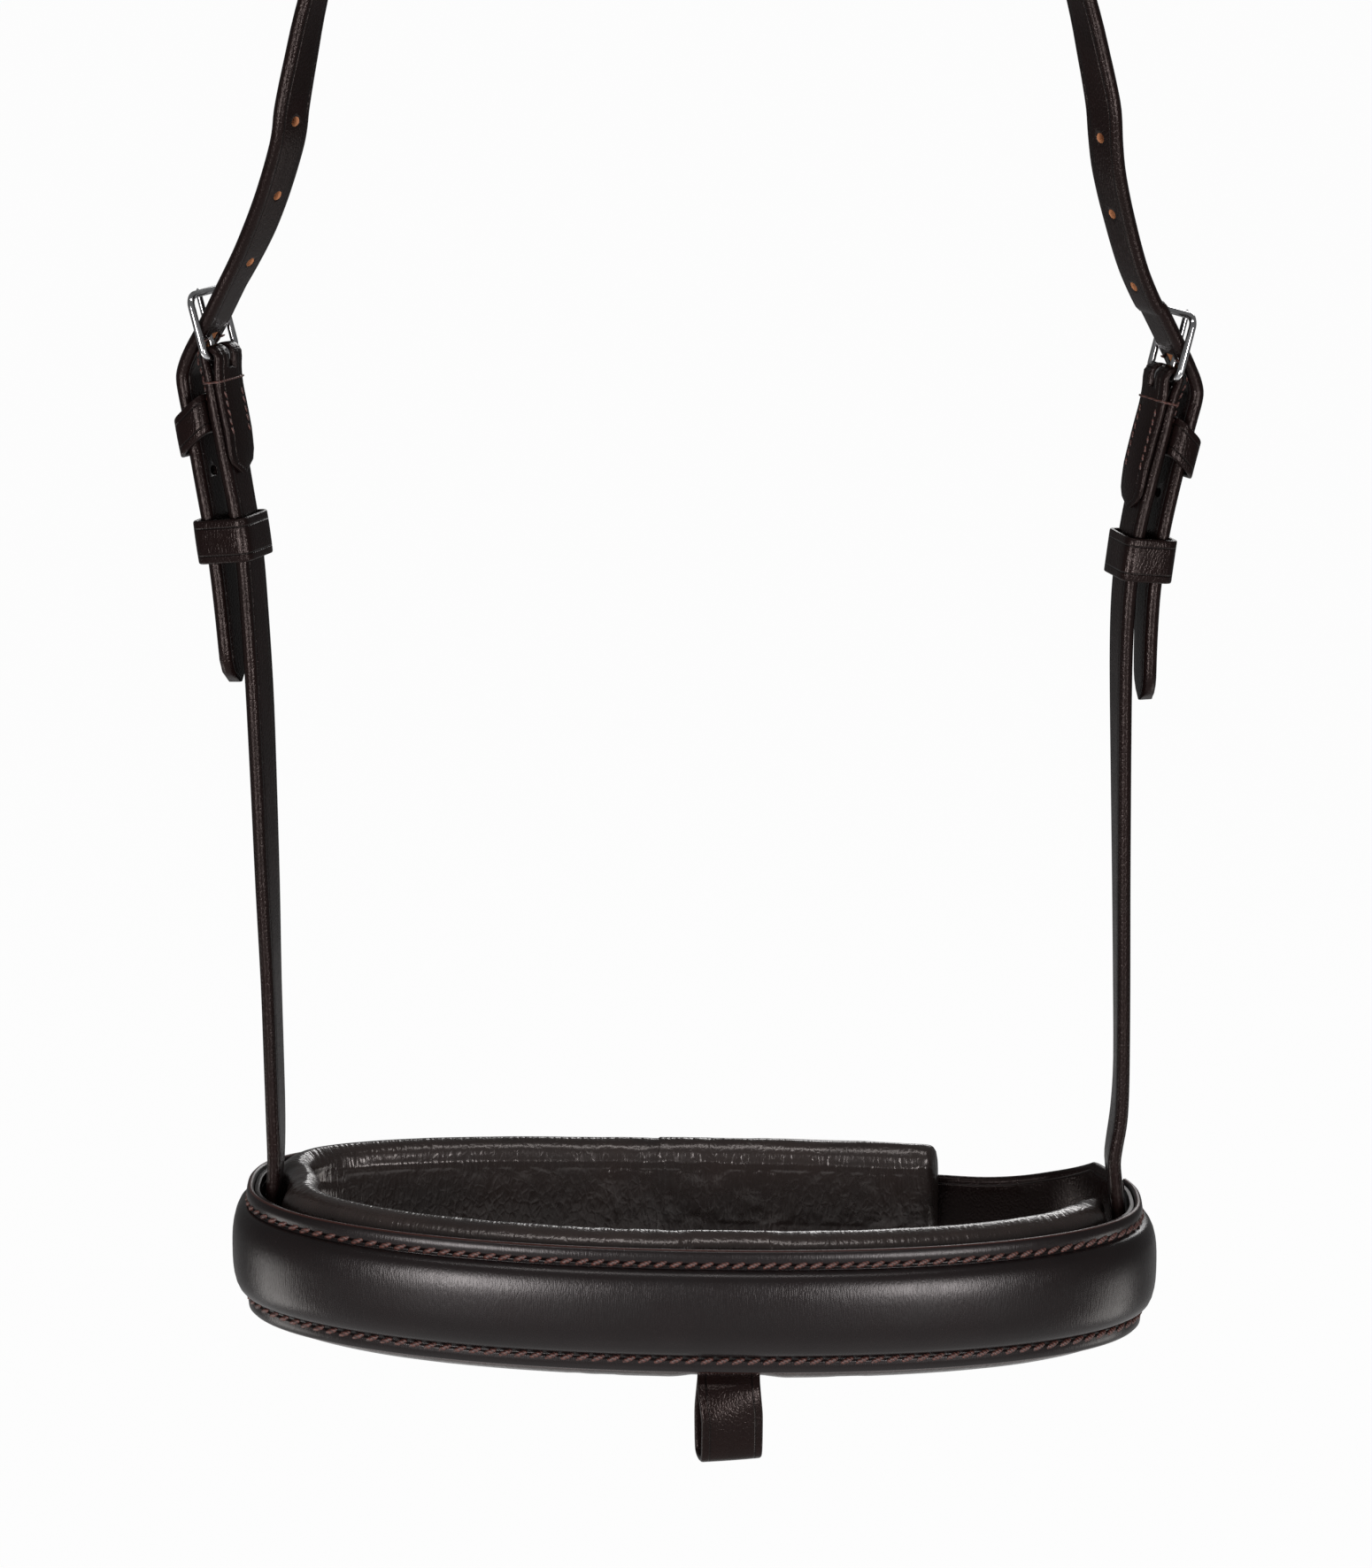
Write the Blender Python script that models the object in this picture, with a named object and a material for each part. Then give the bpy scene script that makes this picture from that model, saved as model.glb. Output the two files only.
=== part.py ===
"""Noseband of a horse bridle, hanging from its head strap. Metres, +Z up, the front faces -Y.

The origin is under the middle of the head strap, where it lies on the horse's poll.
"""

import math

import bmesh
import bpy
from mathutils import Vector

# Clearances
GAP = 0.0003
SEAM_GAP = 0.0004
SLIDE_GAP = 0.0006
RUNNER_SLACK = 0.0009
SLOT_GAP = 0.0006
OVERRUN = 0.002

# Head strap and hangers
STRAP_WIDTH = 0.013
STRAP_THICK = 0.004
STRAP_EDGE = 0.0012
FOLD_THICK = 0.002
TAIL_THICK = 0.0022
TAIL_LENGTH = 0.043
LEFT_STANDOFF = 0.0055
LEFT_TIP_STANDOFF = 0.0038
RIGHT_STANDOFF = 0.0038
RIGHT_TIP_STANDOFF = 0.0034
BILLET_LENGTH = 0.0985
TIP_LENGTH = 0.009
PASS_DEPTH = 0.0098
PIVOT_OUT = 0.128
CROWN_FLAT = 0.030
HOLE_RADIUS = 0.0015
HOLE_PITCH = 0.0234

# Cheek buckles and their keepers
WIRE_RADIUS = 0.0011
FRAME_LENGTH = 0.0191
FRAME_LEAN = math.radians(16.4)
FRAME_CORNER = 0.0032
FRAME_SIDE_GAP = 0.0007
TONGUE_RADIUS = 0.0009
TONGUE_GAP = 0.00025
KEEPER_THICK = 0.0015
FIXED_KEEPER_HEIGHT = 0.0115
FIXED_KEEPER_DROP = 0.0190
FIXED_KEEPER_SLOPE = math.radians(30)
RUNNER_HEIGHT = 0.013
RUNNER_DROP = 0.054

# Noseband
NOSE_HALF_WIDTH = 0.135
NOSE_FRONT_DEPTH = 0.059
NOSE_BACK_DEPTH = 0.050
FRONT_POWER = 2.15
BACK_POWER = 3.0
NOSE_DROP = 0.479
NOSE_TILT = math.radians(1.06)
NOSE_TILT_CENTRE = 0.027
NOSE_HEIGHT = 0.038
OUTER_THICK = 0.002
BULGE_HEIGHT = 0.0266
BULGE_DEPTH = 0.0047
BULGE_FADE = 0.022
BULGE_POWER = 2.6
BACKING_THICK = 0.0016
BACKING_INSET = 0.001
OUTER_BACK_END = 0.075
OUTER_SIDE_END = 0.020
HANGER_ENTRY_DROP = 0.450
HANGER_END_DROP = 0.487
SEAT_GAP = 0.0010

# Padded lining
LINING_HEIGHT = 0.0453
LINING_RISE = 0.001
LINING_THICK = 0.0012
LINING_LIP = 0.007
LINING_ROLL = 0.0042
PAD_THICK = 0.010
FRONT_SLACK = 0.004
SIDE_SLACK = 0.009
LINING_SIDE_END = 0.014
PAD_SEAM_OUT = 0.0103

# Jaw pad and jaw straps
JAW_DROP = 0.473
JAW_PAD_HEIGHT = 0.036
JAW_PAD_END = 0.076
JAW_STRAP_DROP = 0.478
JAW_STRAP_WIDTH = 0.0195
JAW_STRAP_THICK = 0.003
JAW_STRAP_ROOT_WIDTH = 0.030
JAW_STANDOFF = 0.0024
JAW_TAIL_LENGTH = 0.030
JAW_BILLET_LENGTH = 0.072
JAW_HEEL_OUT = 0.008
JAW_FRAME_LENGTH = 0.021
JAW_FRAME_LEAN = math.radians(6)
JAW_WIRE_RADIUS = 0.0013
JAW_PASS_LIFT = 0.0004
JAW_KEEPER_THICK = 0.0012
JAW_FIXED_KEEPER_PLACE = 0.0145
JAW_RUNNER_PLACE = 0.046
JAW_KEEPER_HEIGHT = 0.010
JAW_STRAP_START = 0.0088

# Flash loop
FLASH_CENTRE = 0.010
FLASH_WIDTH = 0.0185
FLASH_THICK = 0.0019
FLASH_TAB_THICK = 0.0012
FLASH_HANG = 0.02535
FLASH_DEPTH = 0.0098
FLASH_TAB_HEIGHT = 0.012

# Faces round a wire, steps between two points of a route, and rings round the whole noseband
WIRE_SIDES = 8
ROUTE_STEPS = 2
NOSE_RINGS = 72

# How far out each hanger stands, as shares of the way from its heel bar to the noseband:
# down the hanger, and of the difference between the two ends.
# The turn shares say how far the straps are turned about the vertical: share of the drop to the noseband's
# middle, and the angle in degrees.
SIDES = {
    "left": {
        "sign": -1,
        "heel_out": 0.1391,
        "heel_drop": 0.2048,
        "entry_out": 0.1240,
        "standoff": LEFT_STANDOFF,
        "tip_standoff": LEFT_TIP_STANDOFF,
        "hanger_shares": [
            (0.037, 0.918),
            (0.103, 0.717),
            (0.176, 0.503),
            (0.233, 0.365),
            (0.307, 0.277),
            (0.43, 0.182),
            (0.65, 0.088),
            (0.873, 0.013),
            (1.0, 0.0),
        ],
        "head_shares": [
            (0.949, 0.864),
            (0.913, 0.813),
            (0.881, 0.757),
            (0.848, 0.684),
            (0.837, 0.636),
            (0.816, 0.562),
            (0.769, 0.43),
            (0.676, 0.293),
            (0.532, 0.166),
            (0.33, 0.062),
            (0.19, 0.012),
        ],
        "turn_shares": [
            (0.0, 0),
            (0.12, 12),
            (0.27, 42),
            (0.345, 40),
            (0.385, 30),
            (0.47, 30),
            (0.52, 25),
            (0.65, 24),
            (0.76, 18),
            (0.816, 12),
            (0.875, 10.5),
            (0.914, 9),
            (0.97, 0),
        ],
    },
    "right": {
        "sign": 1,
        "heel_out": 0.1376,
        "heel_drop": 0.2108,
        "entry_out": 0.1238,
        "standoff": RIGHT_STANDOFF,
        "tip_standoff": RIGHT_TIP_STANDOFF,
        "hanger_shares": [
            (0.038, 0.84),
            (0.10, 0.56),
            (0.16, 0.32),
            (0.215, 0.15),
            (0.27, 0.05),
            (0.34, 0.015),
            (0.436, 0.03),
            (0.641, 0.094),
            (0.871, 0.16),
            (0.95, 0.10),
            (1.0, 0.0),
        ],
        "head_shares": [
            (0.967, 0.899),
            (0.931, 0.847),
            (0.899, 0.778),
            (0.870, 0.697),
            (0.858, 0.618),
            (0.836, 0.545),
            (0.785, 0.417),
            (0.687, 0.285),
            (0.538, 0.161),
            (0.334, 0.061),
            (0.19, 0.011),
        ],
        "turn_shares": [
            (0.0, 0),
            (0.12, 12),
            (0.27, 42),
            (0.34, 33),
            (0.395, 28),
            (0.48, 27),
            (0.53, 21),
            (0.62, 14.5),
            (0.76, 6.5),
            (0.875, 3),
            (0.914, 6),
            (0.97, 0),
        ],
    },
}

# Where the jaw strap's fold line stands off the backing: share of its length, share of the heel bar's standoff.
JAW_SEAM_SHARES = [(0.12, 0.78), (0.24, 0.68), (0.37, 0.60), (0.51, 0.52), (0.66, 0.50), (0.80, 0.08), (1.0, 0.0)]


def clear_scene():
    for item in list(bpy.data.objects):
        bpy.data.objects.remove(item, do_unlink=True)


def material(name, colour, roughness, metallic=0.0):
    made = bpy.data.materials.new(name)
    made.use_nodes = True
    shader = made.node_tree.nodes["Principled BSDF"]
    shader.inputs["Base Color"].default_value = (*colour, 1.0)
    shader.inputs["Roughness"].default_value = roughness
    shader.inputs["Metallic"].default_value = metallic
    return made


def link(name, mesh, finish):
    made = bpy.data.objects.new(name, mesh)
    made.data.materials.append(finish)
    bpy.context.scene.collection.objects.link(made)
    return made


def loft(name, rings, finish, closed=False, smooth_angle=math.radians(40)):
    """One solid through rings of equal count; the ends are capped unless the row of rings is closed."""
    shape = bmesh.new()
    rows = [[shape.verts.new(point) for point in ring] for ring in rings]
    count = len(rows[0])
    pairs = list(zip(rows, rows[1:]))
    if closed:
        pairs.append((rows[-1], rows[0]))
    for near, far in pairs:
        for place in range(count):
            following = (place + 1) % count
            shape.faces.new((near[place], near[following], far[following], far[place]))
    if not closed:
        shape.faces.new(rows[0])
        shape.faces.new(rows[-1])
    bmesh.ops.recalc_face_normals(shape, faces=shape.faces)
    mesh = bpy.data.meshes.new(name)
    shape.to_mesh(mesh)
    shape.free()
    mesh.shade_smooth()
    mesh.set_sharp_from_angle(angle=smooth_angle)
    return link(name, mesh, finish)


def smooth_route(points, steps=ROUTE_STEPS):
    """Points on a smooth curve through the given ones, which may be of two or three numbers."""
    points = [Vector(point) for point in points]
    ends = [points[0] * 2 - points[1]] + points + [points[-1] * 2 - points[-2]]
    route = []
    for before, start, stop, after in zip(ends, ends[1:], ends[2:], ends[3:]):
        for step in range(steps):
            way = step / steps
            curve = start * 2 + (stop - before) * way
            curve += (before * 2 - start * 5 + stop * 4 - after) * way**2
            curve += (start * 3 - before - stop * 3 + after) * way**3
            route.append(curve / 2)
    route.append(points[-1])
    return route


def directions(route, closed=False):
    """The unit direction of travel at each point of a route."""
    count = len(route)
    found = []
    for place in range(count):
        if closed:
            ahead, behind = route[(place + 1) % count], route[place - 1]
        else:
            ahead, behind = route[min(place + 1, count - 1)], route[max(place - 1, 0)]
        found.append((ahead - behind).normalized())
    return found


def sweep(name, route, across, section, finish, side=1, closed=False):
    """Carries a section along a route. across gives the width direction at each point, section its (w, n) points."""
    rings = []
    for place, (point, travel) in enumerate(zip(route, directions(route, closed))):
        width = across[place]
        width = (width - travel * width.dot(travel)).normalized()
        normal = travel.cross(width) * side
        rings.append([point + width * w + normal * n for w, n in section(place)])
    return loft(name, rings, finish, closed)


def strap_section(width, low, high, edge):
    """A flat strap's section with its long edges bevelled, from low to high along its normal."""
    half = width / 2
    edge = min(edge, (high - low) / 3, half / 3)
    return [
        (-half, low + edge),
        (-half + edge, low),
        (half - edge, low),
        (half, low + edge),
        (half, high - edge),
        (half - edge, high),
        (-half + edge, high),
        (-half, high - edge),
    ]


def circle_section(radius):
    turns = [math.tau * side / WIRE_SIDES for side in range(WIRE_SIDES)]
    return [(radius * math.cos(turn), radius * math.sin(turn)) for turn in turns]


def tip_shares(route, length):
    """The width share at each point of a route whose far end is rounded over the given length."""
    left = [0.0]
    for near, far in zip(route[::-1], route[-2::-1]):
        left.append(left[-1] + (near - far).length)
    left.reverse()
    return [max(1 - max(1 - way / length, 0) ** 2.2, 0.3) for way in left]


def cut(target, cutter):
    cutter.hide_render = True
    cutter.display_type = "WIRE"
    boolean = target.modifiers.new("cut_" + cutter.name, "BOOLEAN")
    boolean.operation = "DIFFERENCE"
    boolean.solver = "EXACT"
    boolean.object = cutter
    cutter.hide_set(True)


def box_between(name, centre, axes, lows, highs, finish):
    """A box along three axes, from a low to a high along each."""
    ring = [(lows[0], lows[1]), (highs[0], lows[1]), (highs[0], highs[1]), (lows[0], highs[1])]
    rings = [[centre + axes[0] * a + axes[1] * b + axes[2] * c for a, b in ring] for c in (lows[2], highs[2])]
    return loft(name, rings, finish)


def rounded_rectangle(low_a, high_a, low_b, high_b, corner, steps=3):
    """Points round a rectangle with round corners."""
    found = []
    centres = [(high_a, high_b, 0), (low_a, high_b, 1), (low_a, low_b, 2), (high_a, low_b, 3)]
    for edge_a, edge_b, quarter in centres:
        inner_a = edge_a - math.copysign(corner, edge_a - (low_a + high_a) / 2)
        inner_b = edge_b - math.copysign(corner, edge_b - (low_b + high_b) / 2)
        for step in range(steps + 1):
            turn = math.pi / 2 * (quarter + step / steps)
            found.append((inner_a + corner * math.cos(turn), inner_b + corner * math.sin(turn)))
    return found


def keeper_ring(name, centre, along, out, width, depths, half_width, height, thick, finish):
    """A flat leather ring round straps: depths are its walls' inner faces along out, height its size along the strap."""
    low, high = depths[0] - thick / 2, depths[1] + thick / 2
    reach = half_width + thick / 2
    outline = rounded_rectangle(low, high, -reach, reach, thick, steps=2)
    route = [centre + out * a + width * b for a, b in outline]
    section = strap_section(height, -thick / 2, thick / 2, thick / 4)
    return sweep(name, route, [along] * len(route), lambda place: section, finish, closed=True)


def turn_at(side, drop):
    """The angle by which a side's straps are turned about the vertical at a given drop."""
    share = drop / NOSE_DROP
    table = side["turn_shares"]
    for (near, near_turn), (far, far_turn) in zip(table, table[1:]):
        if share <= far:
            way = max(share - near, 0) / (far - near)
            return math.radians(near_turn + (far_turn - near_turn) * way)
    return 0.0


class BuckleGroup:
    """The flat frame in which one buckle, its chape and its billet are laid out.

    Places are pairs: along p and q of the plane that the straps run in. heel is the heel bar's centre, up points
    from it to the far bar and out away from the horse. place turns a pair into a point, across gives the straps'
    width direction there, side is the sense of the chape's leather in space, and turn the side of the seam, as it
    runs from the heel bar, that faces away from the horse.
    """

    def __init__(self, name, heel, up, out, sizes, place, across, side, turn):
        self.name = name
        self.heel = heel
        self.up = up
        self.out = out
        self.sizes = sizes
        self.place = place
        self.across = across
        self.side = side
        self.turn = turn

    def axes(self):
        """The heel bar's centre, then its direction, the frame's up and its out, in space."""
        origin = self.place(self.heel)
        step = self.sizes["frame_length"]
        up = (self.place(self.heel + self.up * step) - origin).normalized()
        width = self.across(self.heel)
        width = (width - up * width.dot(up)).normalized()
        out = up.cross(width) * self.side * -1
        return origin, width, up, out

    def route(self, pairs):
        points = [self.place(pair) for pair in pairs]
        return points, [self.across(pair) for pair in pairs]


def offset_line(line, amounts):
    """A flat line moved sideways by its own amount at each point, to the side of increasing out."""
    found = []
    for pair, travel, amount in zip(line, directions(line), amounts):
        found.append(pair + Vector((-travel.y, travel.x)) * amount)
    return found


def run_lengths(line):
    lengths = [0.0]
    for near, far in zip(line, line[1:]):
        lengths.append(lengths[-1] + (far - near).length)
    return lengths


def at_length(line, length):
    """The point of a flat line at a given length from its start, and the direction there."""
    lengths = run_lengths(line)
    for place in range(1, len(line)):
        if lengths[place] >= length:
            way = (length - lengths[place - 1]) / (lengths[place] - lengths[place - 1])
            point = line[place - 1].lerp(line[place], way)
            return point, (line[place] - line[place - 1]).normalized()
    return line[-1], (line[-1] - line[-2]).normalized()


def folded_strap(group, seam, finish):
    """A strap that goes round the heel bar: its tail inside, the strap itself outside, with a slot for the tongue.

    seam is the flat line between the two layers, from the heel bar down.
    """
    sizes = group.sizes
    turn = group.turn
    bar = sizes["wire"] + GAP
    fade = bar * 4.5
    lengths = run_lengths(seam)
    opening = [SEAM_GAP / 2 + (bar - SEAM_GAP / 2) * max(1 - length / fade, 0) for length in lengths]
    outer = offset_line(seam, [turn * amount for amount in opening])[1:]
    inner = offset_line(seam, [-turn * amount for amount in opening])[1:]
    tail = [pair for pair, length in zip(inner, lengths[1:]) if length <= sizes["tail_length"]]
    back = (seam[0] - seam[1]).normalized()
    away = Vector((back.y, -back.x)) * turn
    arc = []
    for step in range(9):
        angle = math.pi * (1 - step / 8)
        arc.append(seam[0] + away * bar * math.cos(angle) + back * bar * math.sin(angle))
    pairs = tail[::-1] + arc + outer
    points, across = group.route(pairs)
    along = run_lengths(points)
    start = along[len(tail)]
    stop = along[len(tail) + len(arc) - 1]
    swell = sizes["thick"] * 3.5

    def thickness(place):
        if along[place] < start:
            share = min(along[place] / (sizes["thick"] * 2), 1)
            return sizes["tail"] * (0.5 + 0.5 * share)
        share = min(max((along[place] - stop) / swell, 0), 1)
        return FOLD_THICK + (sizes["thick"] - FOLD_THICK) * share

    def section(place):
        return strap_section(sizes["width"], 0, thickness(place), STRAP_EDGE)

    strap = sweep(group.name + sizes["chape_name"], points, across, section, finish, group.side)
    origin, width, up, out = group.axes()
    half = TONGUE_RADIUS + SLOT_GAP
    ring = sizes["wire"] + TONGUE_GAP + TONGUE_RADIUS * 2 + SLOT_GAP
    top = bar + FOLD_THICK + OVERRUN
    slot = box_between(
        group.name + "_slot_cutter", origin, (width, up, out), (-half, -ring, -ring), (half, top, ring), finish
    )
    cut(strap, slot)
    return strap


def buckle_frame(group, finish):
    sizes = group.sizes
    origin, width, up, out = group.axes()
    reach = sizes["width"] / 2 + FRAME_SIDE_GAP + sizes["wire"]
    outline = rounded_rectangle(0, sizes["frame_length"], -reach, reach, FRAME_CORNER)
    route = [origin + up * a + width * b for a, b in outline]
    section = circle_section(sizes["wire"])
    return sweep(
        group.name + "_buckle_frame", route, [out] * len(route), lambda place: section, finish, closed=True
    )


def buckle_tongue(group, finish):
    sizes = group.sizes
    origin, width, up, out = group.axes()
    radius = sizes["wire"] + TONGUE_GAP + TONGUE_RADIUS
    route = []
    for step in range(13):
        angle = math.radians(-240 + 20 * step)
        route.append(origin + out * radius * math.cos(angle) + up * radius * math.sin(angle))
    reach = sizes["frame_length"] + sizes["wire"] * 1.4
    for share in (0.35, 0.7, 1.0):
        route.append(origin + out * radius + up * reach * share)
    section = circle_section(TONGUE_RADIUS)
    return sweep(group.name + "_tongue", route, [width] * len(route), lambda place: section, finish)


def tongue_path_cutter(group, finish):
    """The room that the tongue needs through the strap that passes the frame."""
    sizes = group.sizes
    origin, width, up, out = group.axes()
    half = TONGUE_RADIUS + SLOT_GAP
    middle = sizes["wire"] + TONGUE_GAP + TONGUE_RADIUS
    low = middle - TONGUE_RADIUS * 2.4
    high = middle + TONGUE_RADIUS * 3.4
    start, stop = -high, sizes["frame_length"] - sizes["wire"]
    return box_between(
        group.name + "_tongue_path", origin, (width, up, out), (-half, start, low), (half, stop, high), finish
    )


def fixed_keeper(group, seam, finish):
    sizes = group.sizes
    inner = SEAM_GAP / 2 + sizes["thick"] + GAP + sizes["keeper"]
    outer = SEAM_GAP / 2 + sizes["thick"] * 2 + sizes["standoff"] + RUNNER_SLACK
    place, height = sizes["fixed_place"], sizes["fixed_height"]
    loop = keeper_on(group, seam, place, (inner, outer), height, "_fixed_keeper", finish)
    pair, travel = at_length(seam, place)
    centre = group.place(pair)
    along = (group.place(pair + travel * height) - centre).normalized()
    width = group.across(pair)
    out = along.cross(width - along * width.dot(along)).normalized() * group.side
    slope, middle = math.tan(sizes["fixed_slope"]), (inner + outer) / 2
    for vertex in loop.data.vertices:
        vertex.co += along * slope * ((vertex.co - centre).dot(out) - middle)
    return loop


def runner_keeper(group, seam, finish):
    sizes = group.sizes
    outer = SEAM_GAP / 2 + sizes["thick"] * 2 + sizes["standoff"] + RUNNER_SLACK
    place, height = sizes["runner_place"], sizes["runner_height"]
    return keeper_on(group, seam, place, (SEAM_GAP / 2 - RUNNER_SLACK, outer), height, "_runner_keeper", finish)


def keeper_on(group, seam, length, depths, height, ending, finish):
    sizes = group.sizes
    pair, travel = at_length(seam, length)
    centre = group.place(pair)
    ahead = group.place(pair + travel * height)
    along = (ahead - centre).normalized()
    width = group.across(pair)
    width = (width - along * width.dot(along)).normalized()
    out = along.cross(width) * group.side
    half = sizes["width"] / 2 + SLIDE_GAP
    return keeper_ring(
        group.name + ending, centre, along, out, width, depths, half, height, sizes["keeper"], finish
    )


def set_origin(item, origin):
    """Moves an object's origin to a point without moving its shape."""
    for vertex in item.data.vertices:
        vertex.co -= origin
    item.location = origin


def side_pair(side, out, drop):
    """A place on one cheek, as lengths in the turned plane of the straps."""
    return Vector((PIVOT_OUT + (out - PIVOT_OUT) / math.cos(turn_at(side, drop)), -drop))


def make_side_group(name):
    """The buckle group on one cheek: p is the distance out from the middle, q the height."""
    side = SIDES[name]
    sign = side["sign"]

    def place(pair):
        reach, turn = pair[0] - PIVOT_OUT, turn_at(side, -pair[1])
        return Vector((sign * (PIVOT_OUT + reach * math.cos(turn)), reach * math.sin(turn), pair[1]))

    def across(pair):
        turn = turn_at(side, -pair[1])
        return Vector((-sign * math.sin(turn), math.cos(turn), 0))

    sizes = {
        "chape_name": "_hanger",
        "width": STRAP_WIDTH,
        "thick": STRAP_THICK,
        "tail": TAIL_THICK,
        "tail_length": TAIL_LENGTH,
        "wire": WIRE_RADIUS,
        "frame_length": FRAME_LENGTH,
        "standoff": side["standoff"],
        "tip_standoff": side["tip_standoff"],
        "keeper": KEEPER_THICK,
        "fixed_place": FIXED_KEEPER_DROP,
        "fixed_height": FIXED_KEEPER_HEIGHT,
        "fixed_slope": FIXED_KEEPER_SLOPE,
        "runner_place": RUNNER_DROP,
        "runner_height": RUNNER_HEIGHT,
    }
    heel = side_pair(side, side["heel_out"], side["heel_drop"])
    up = Vector((math.sin(FRAME_LEAN), math.cos(FRAME_LEAN)))
    out = Vector((math.cos(FRAME_LEAN), -math.sin(FRAME_LEAN)))
    return BuckleGroup(name, heel, up, out, sizes, place, across, sign, 1)


def hanger_seam(name):
    """The flat line of a hanger's inner face, from the heel bar into the noseband."""
    side = SIDES[name]
    heel = side_pair(side, side["heel_out"], side["heel_drop"])
    lean = side["heel_out"] - side["entry_out"]
    fall = HANGER_ENTRY_DROP - side["heel_drop"]
    points = [heel]
    for down, share in side["hanger_shares"]:
        points.append(side_pair(side, side["entry_out"] + lean * share, side["heel_drop"] + fall * down))
    seat = NOSE_HALF_WIDTH - OUTER_THICK - GAP - BACKING_THICK - SEAT_GAP - STRAP_THICK - SEAM_GAP / 2
    points.append(side_pair(side, seat, (HANGER_ENTRY_DROP + HANGER_END_DROP) / 2))
    points.append(side_pair(side, seat, HANGER_END_DROP))
    return smooth_route(points)


def billet_line(group, seam, length, pass_depth, lead):
    """The flat line of the strap that passes the frame: its lead-in, the crossing, and its run outside the chape."""
    sizes, turn = group.sizes, group.turn
    offset = SEAM_GAP / 2 + sizes["thick"] * 1.5 + sizes["standoff"]
    passing = group.heel + group.up * sizes["frame_length"] - group.out * pass_depth
    crossing = group.heel + group.up * sizes["frame_length"] / 2
    bulge = group.heel + group.out * offset * 0.97 - group.up * sizes["frame_length"] * 0.1
    shoulder = crossing.lerp(bulge, 0.55) + group.up * sizes["thick"] * 0.2
    lengths = run_lengths(seam)
    ease = sizes["standoff"] - sizes["tip_standoff"]
    below = sizes["runner_place"]
    eased = [ease * min(max((reach - below) / (length - below), 0), 1) for reach in lengths]
    outside = offset_line(seam, [turn * (offset - amount) for amount in eased])
    begin = sizes["frame_length"] * 0.45
    stop = length - sizes["thick"]
    run = [pair for pair, reach in zip(outside, lengths) if begin < reach < stop][::2]
    end, travel = at_length(seam, length)
    run.append(end + Vector((-travel.y, travel.x)) * turn * (offset - ease))
    return smooth_route(lead + [passing, crossing, shoulder, bulge] + run)


def head_lead(name):
    side = SIDES[name]
    half = CROWN_FLAT / 2
    crown = STRAP_THICK / 2
    lead = [Vector((0, crown)), Vector((half / 2, crown)), Vector((half, crown))]
    for out, drop in reversed(side["head_shares"]):
        lead.append(side_pair(side, side["heel_out"] * out, side["heel_drop"] * drop))
    return lead


def make_headstrap(groups, seams, finish):
    """One strap from the left billet's tip, over the crown, to the right billet's tip."""
    halves = []
    for name, group in groups.items():
        line = billet_line(group, seams[name], BILLET_LENGTH, PASS_DEPTH, head_lead(name))
        flat = CROWN_FLAT / 2
        line = [Vector((pair.x, STRAP_THICK / 2)) if pair.x <= flat + GAP else pair for pair in line]
        points, across = group.route(line)
        halves.append((points, across, tip_shares(points, TIP_LENGTH)))
    (left, left_across, left_tip), (right, right_across, right_tip) = halves
    route = left[::-1] + right[1:]
    across = left_across[::-1] + right_across[1:]
    shares = left_tip[::-1] + right_tip[1:]

    def section(place):
        width = STRAP_WIDTH * shares[place]
        return strap_section(width, -STRAP_THICK / 2, STRAP_THICK / 2, STRAP_EDGE)

    strap = sweep("headstrap", route, across, section, finish)
    for name, group in groups.items():
        cut(strap, tongue_path_cutter(group, finish))
    cut(strap, hole_cutter("headstrap_holes", halves, groups, finish))
    return strap


def hole_cutter(name, halves, groups, finish):
    """Round cutters along both billets, at even pitches from where each tongue passes."""
    shape = bmesh.new()
    for (points, across, _), group in zip(halves, groups.values()):
        crossing = group.place(group.heel + group.up * group.sizes["frame_length"] / 2)
        nearest = min(range(len(points)), key=lambda place: (points[place] - crossing).length)
        lengths = run_lengths(points)
        for pitch in (-3, -2, -1, 2, 3):
            wanted = lengths[nearest] + pitch * HOLE_PITCH
            place = min(range(len(points)), key=lambda spot: abs(lengths[spot] - wanted))
            travel = directions(points)[place]
            point = points[place] + travel * (wanted - lengths[place])
            width = (across[place] - travel * across[place].dot(travel)).normalized()
            normal = travel.cross(width)
            rings = []
            for end in (-STRAP_THICK, STRAP_THICK):
                circle = circle_section(HOLE_RADIUS)
                rings.append([shape.verts.new(point + normal * end + travel * a + width * b) for a, b in circle])
            low, high = rings
            for spot in range(WIRE_SIDES):
                ahead = (spot + 1) % WIRE_SIDES
                shape.faces.new((low[spot], low[ahead], high[ahead], high[spot]))
            shape.faces.new(low)
            shape.faces.new(high)
    bmesh.ops.recalc_face_normals(shape, faces=shape.faces)
    mesh = bpy.data.meshes.new(name)
    shape.to_mesh(mesh)
    shape.free()
    return link(name, mesh, finish)


def plan_curve(half_width, front, back, samples=960):
    """Points round an oval in plan, evenly along its length: from the front middle to the right and round."""
    raw = []
    for step in range(samples + 1):
        turn = math.tau * step / samples - math.pi / 2
        power, depth = (FRONT_POWER, front) if math.sin(turn) < 0 else (BACK_POWER, back)
        x = math.copysign(abs(math.cos(turn)) ** (2 / power), math.cos(turn)) * half_width
        y = math.copysign(abs(math.sin(turn)) ** (2 / power), math.sin(turn)) * depth
        raw.append(Vector((x, y)))
    lengths = run_lengths(raw)
    even = []
    place = 1
    for step in range(samples):
        wanted = lengths[-1] * step / samples
        while lengths[place] < wanted:
            place += 1
        way = (wanted - lengths[place - 1]) / max(lengths[place] - lengths[place - 1], 1e-12)
        even.append(raw[place - 1].lerp(raw[place], way))
    return even


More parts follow.
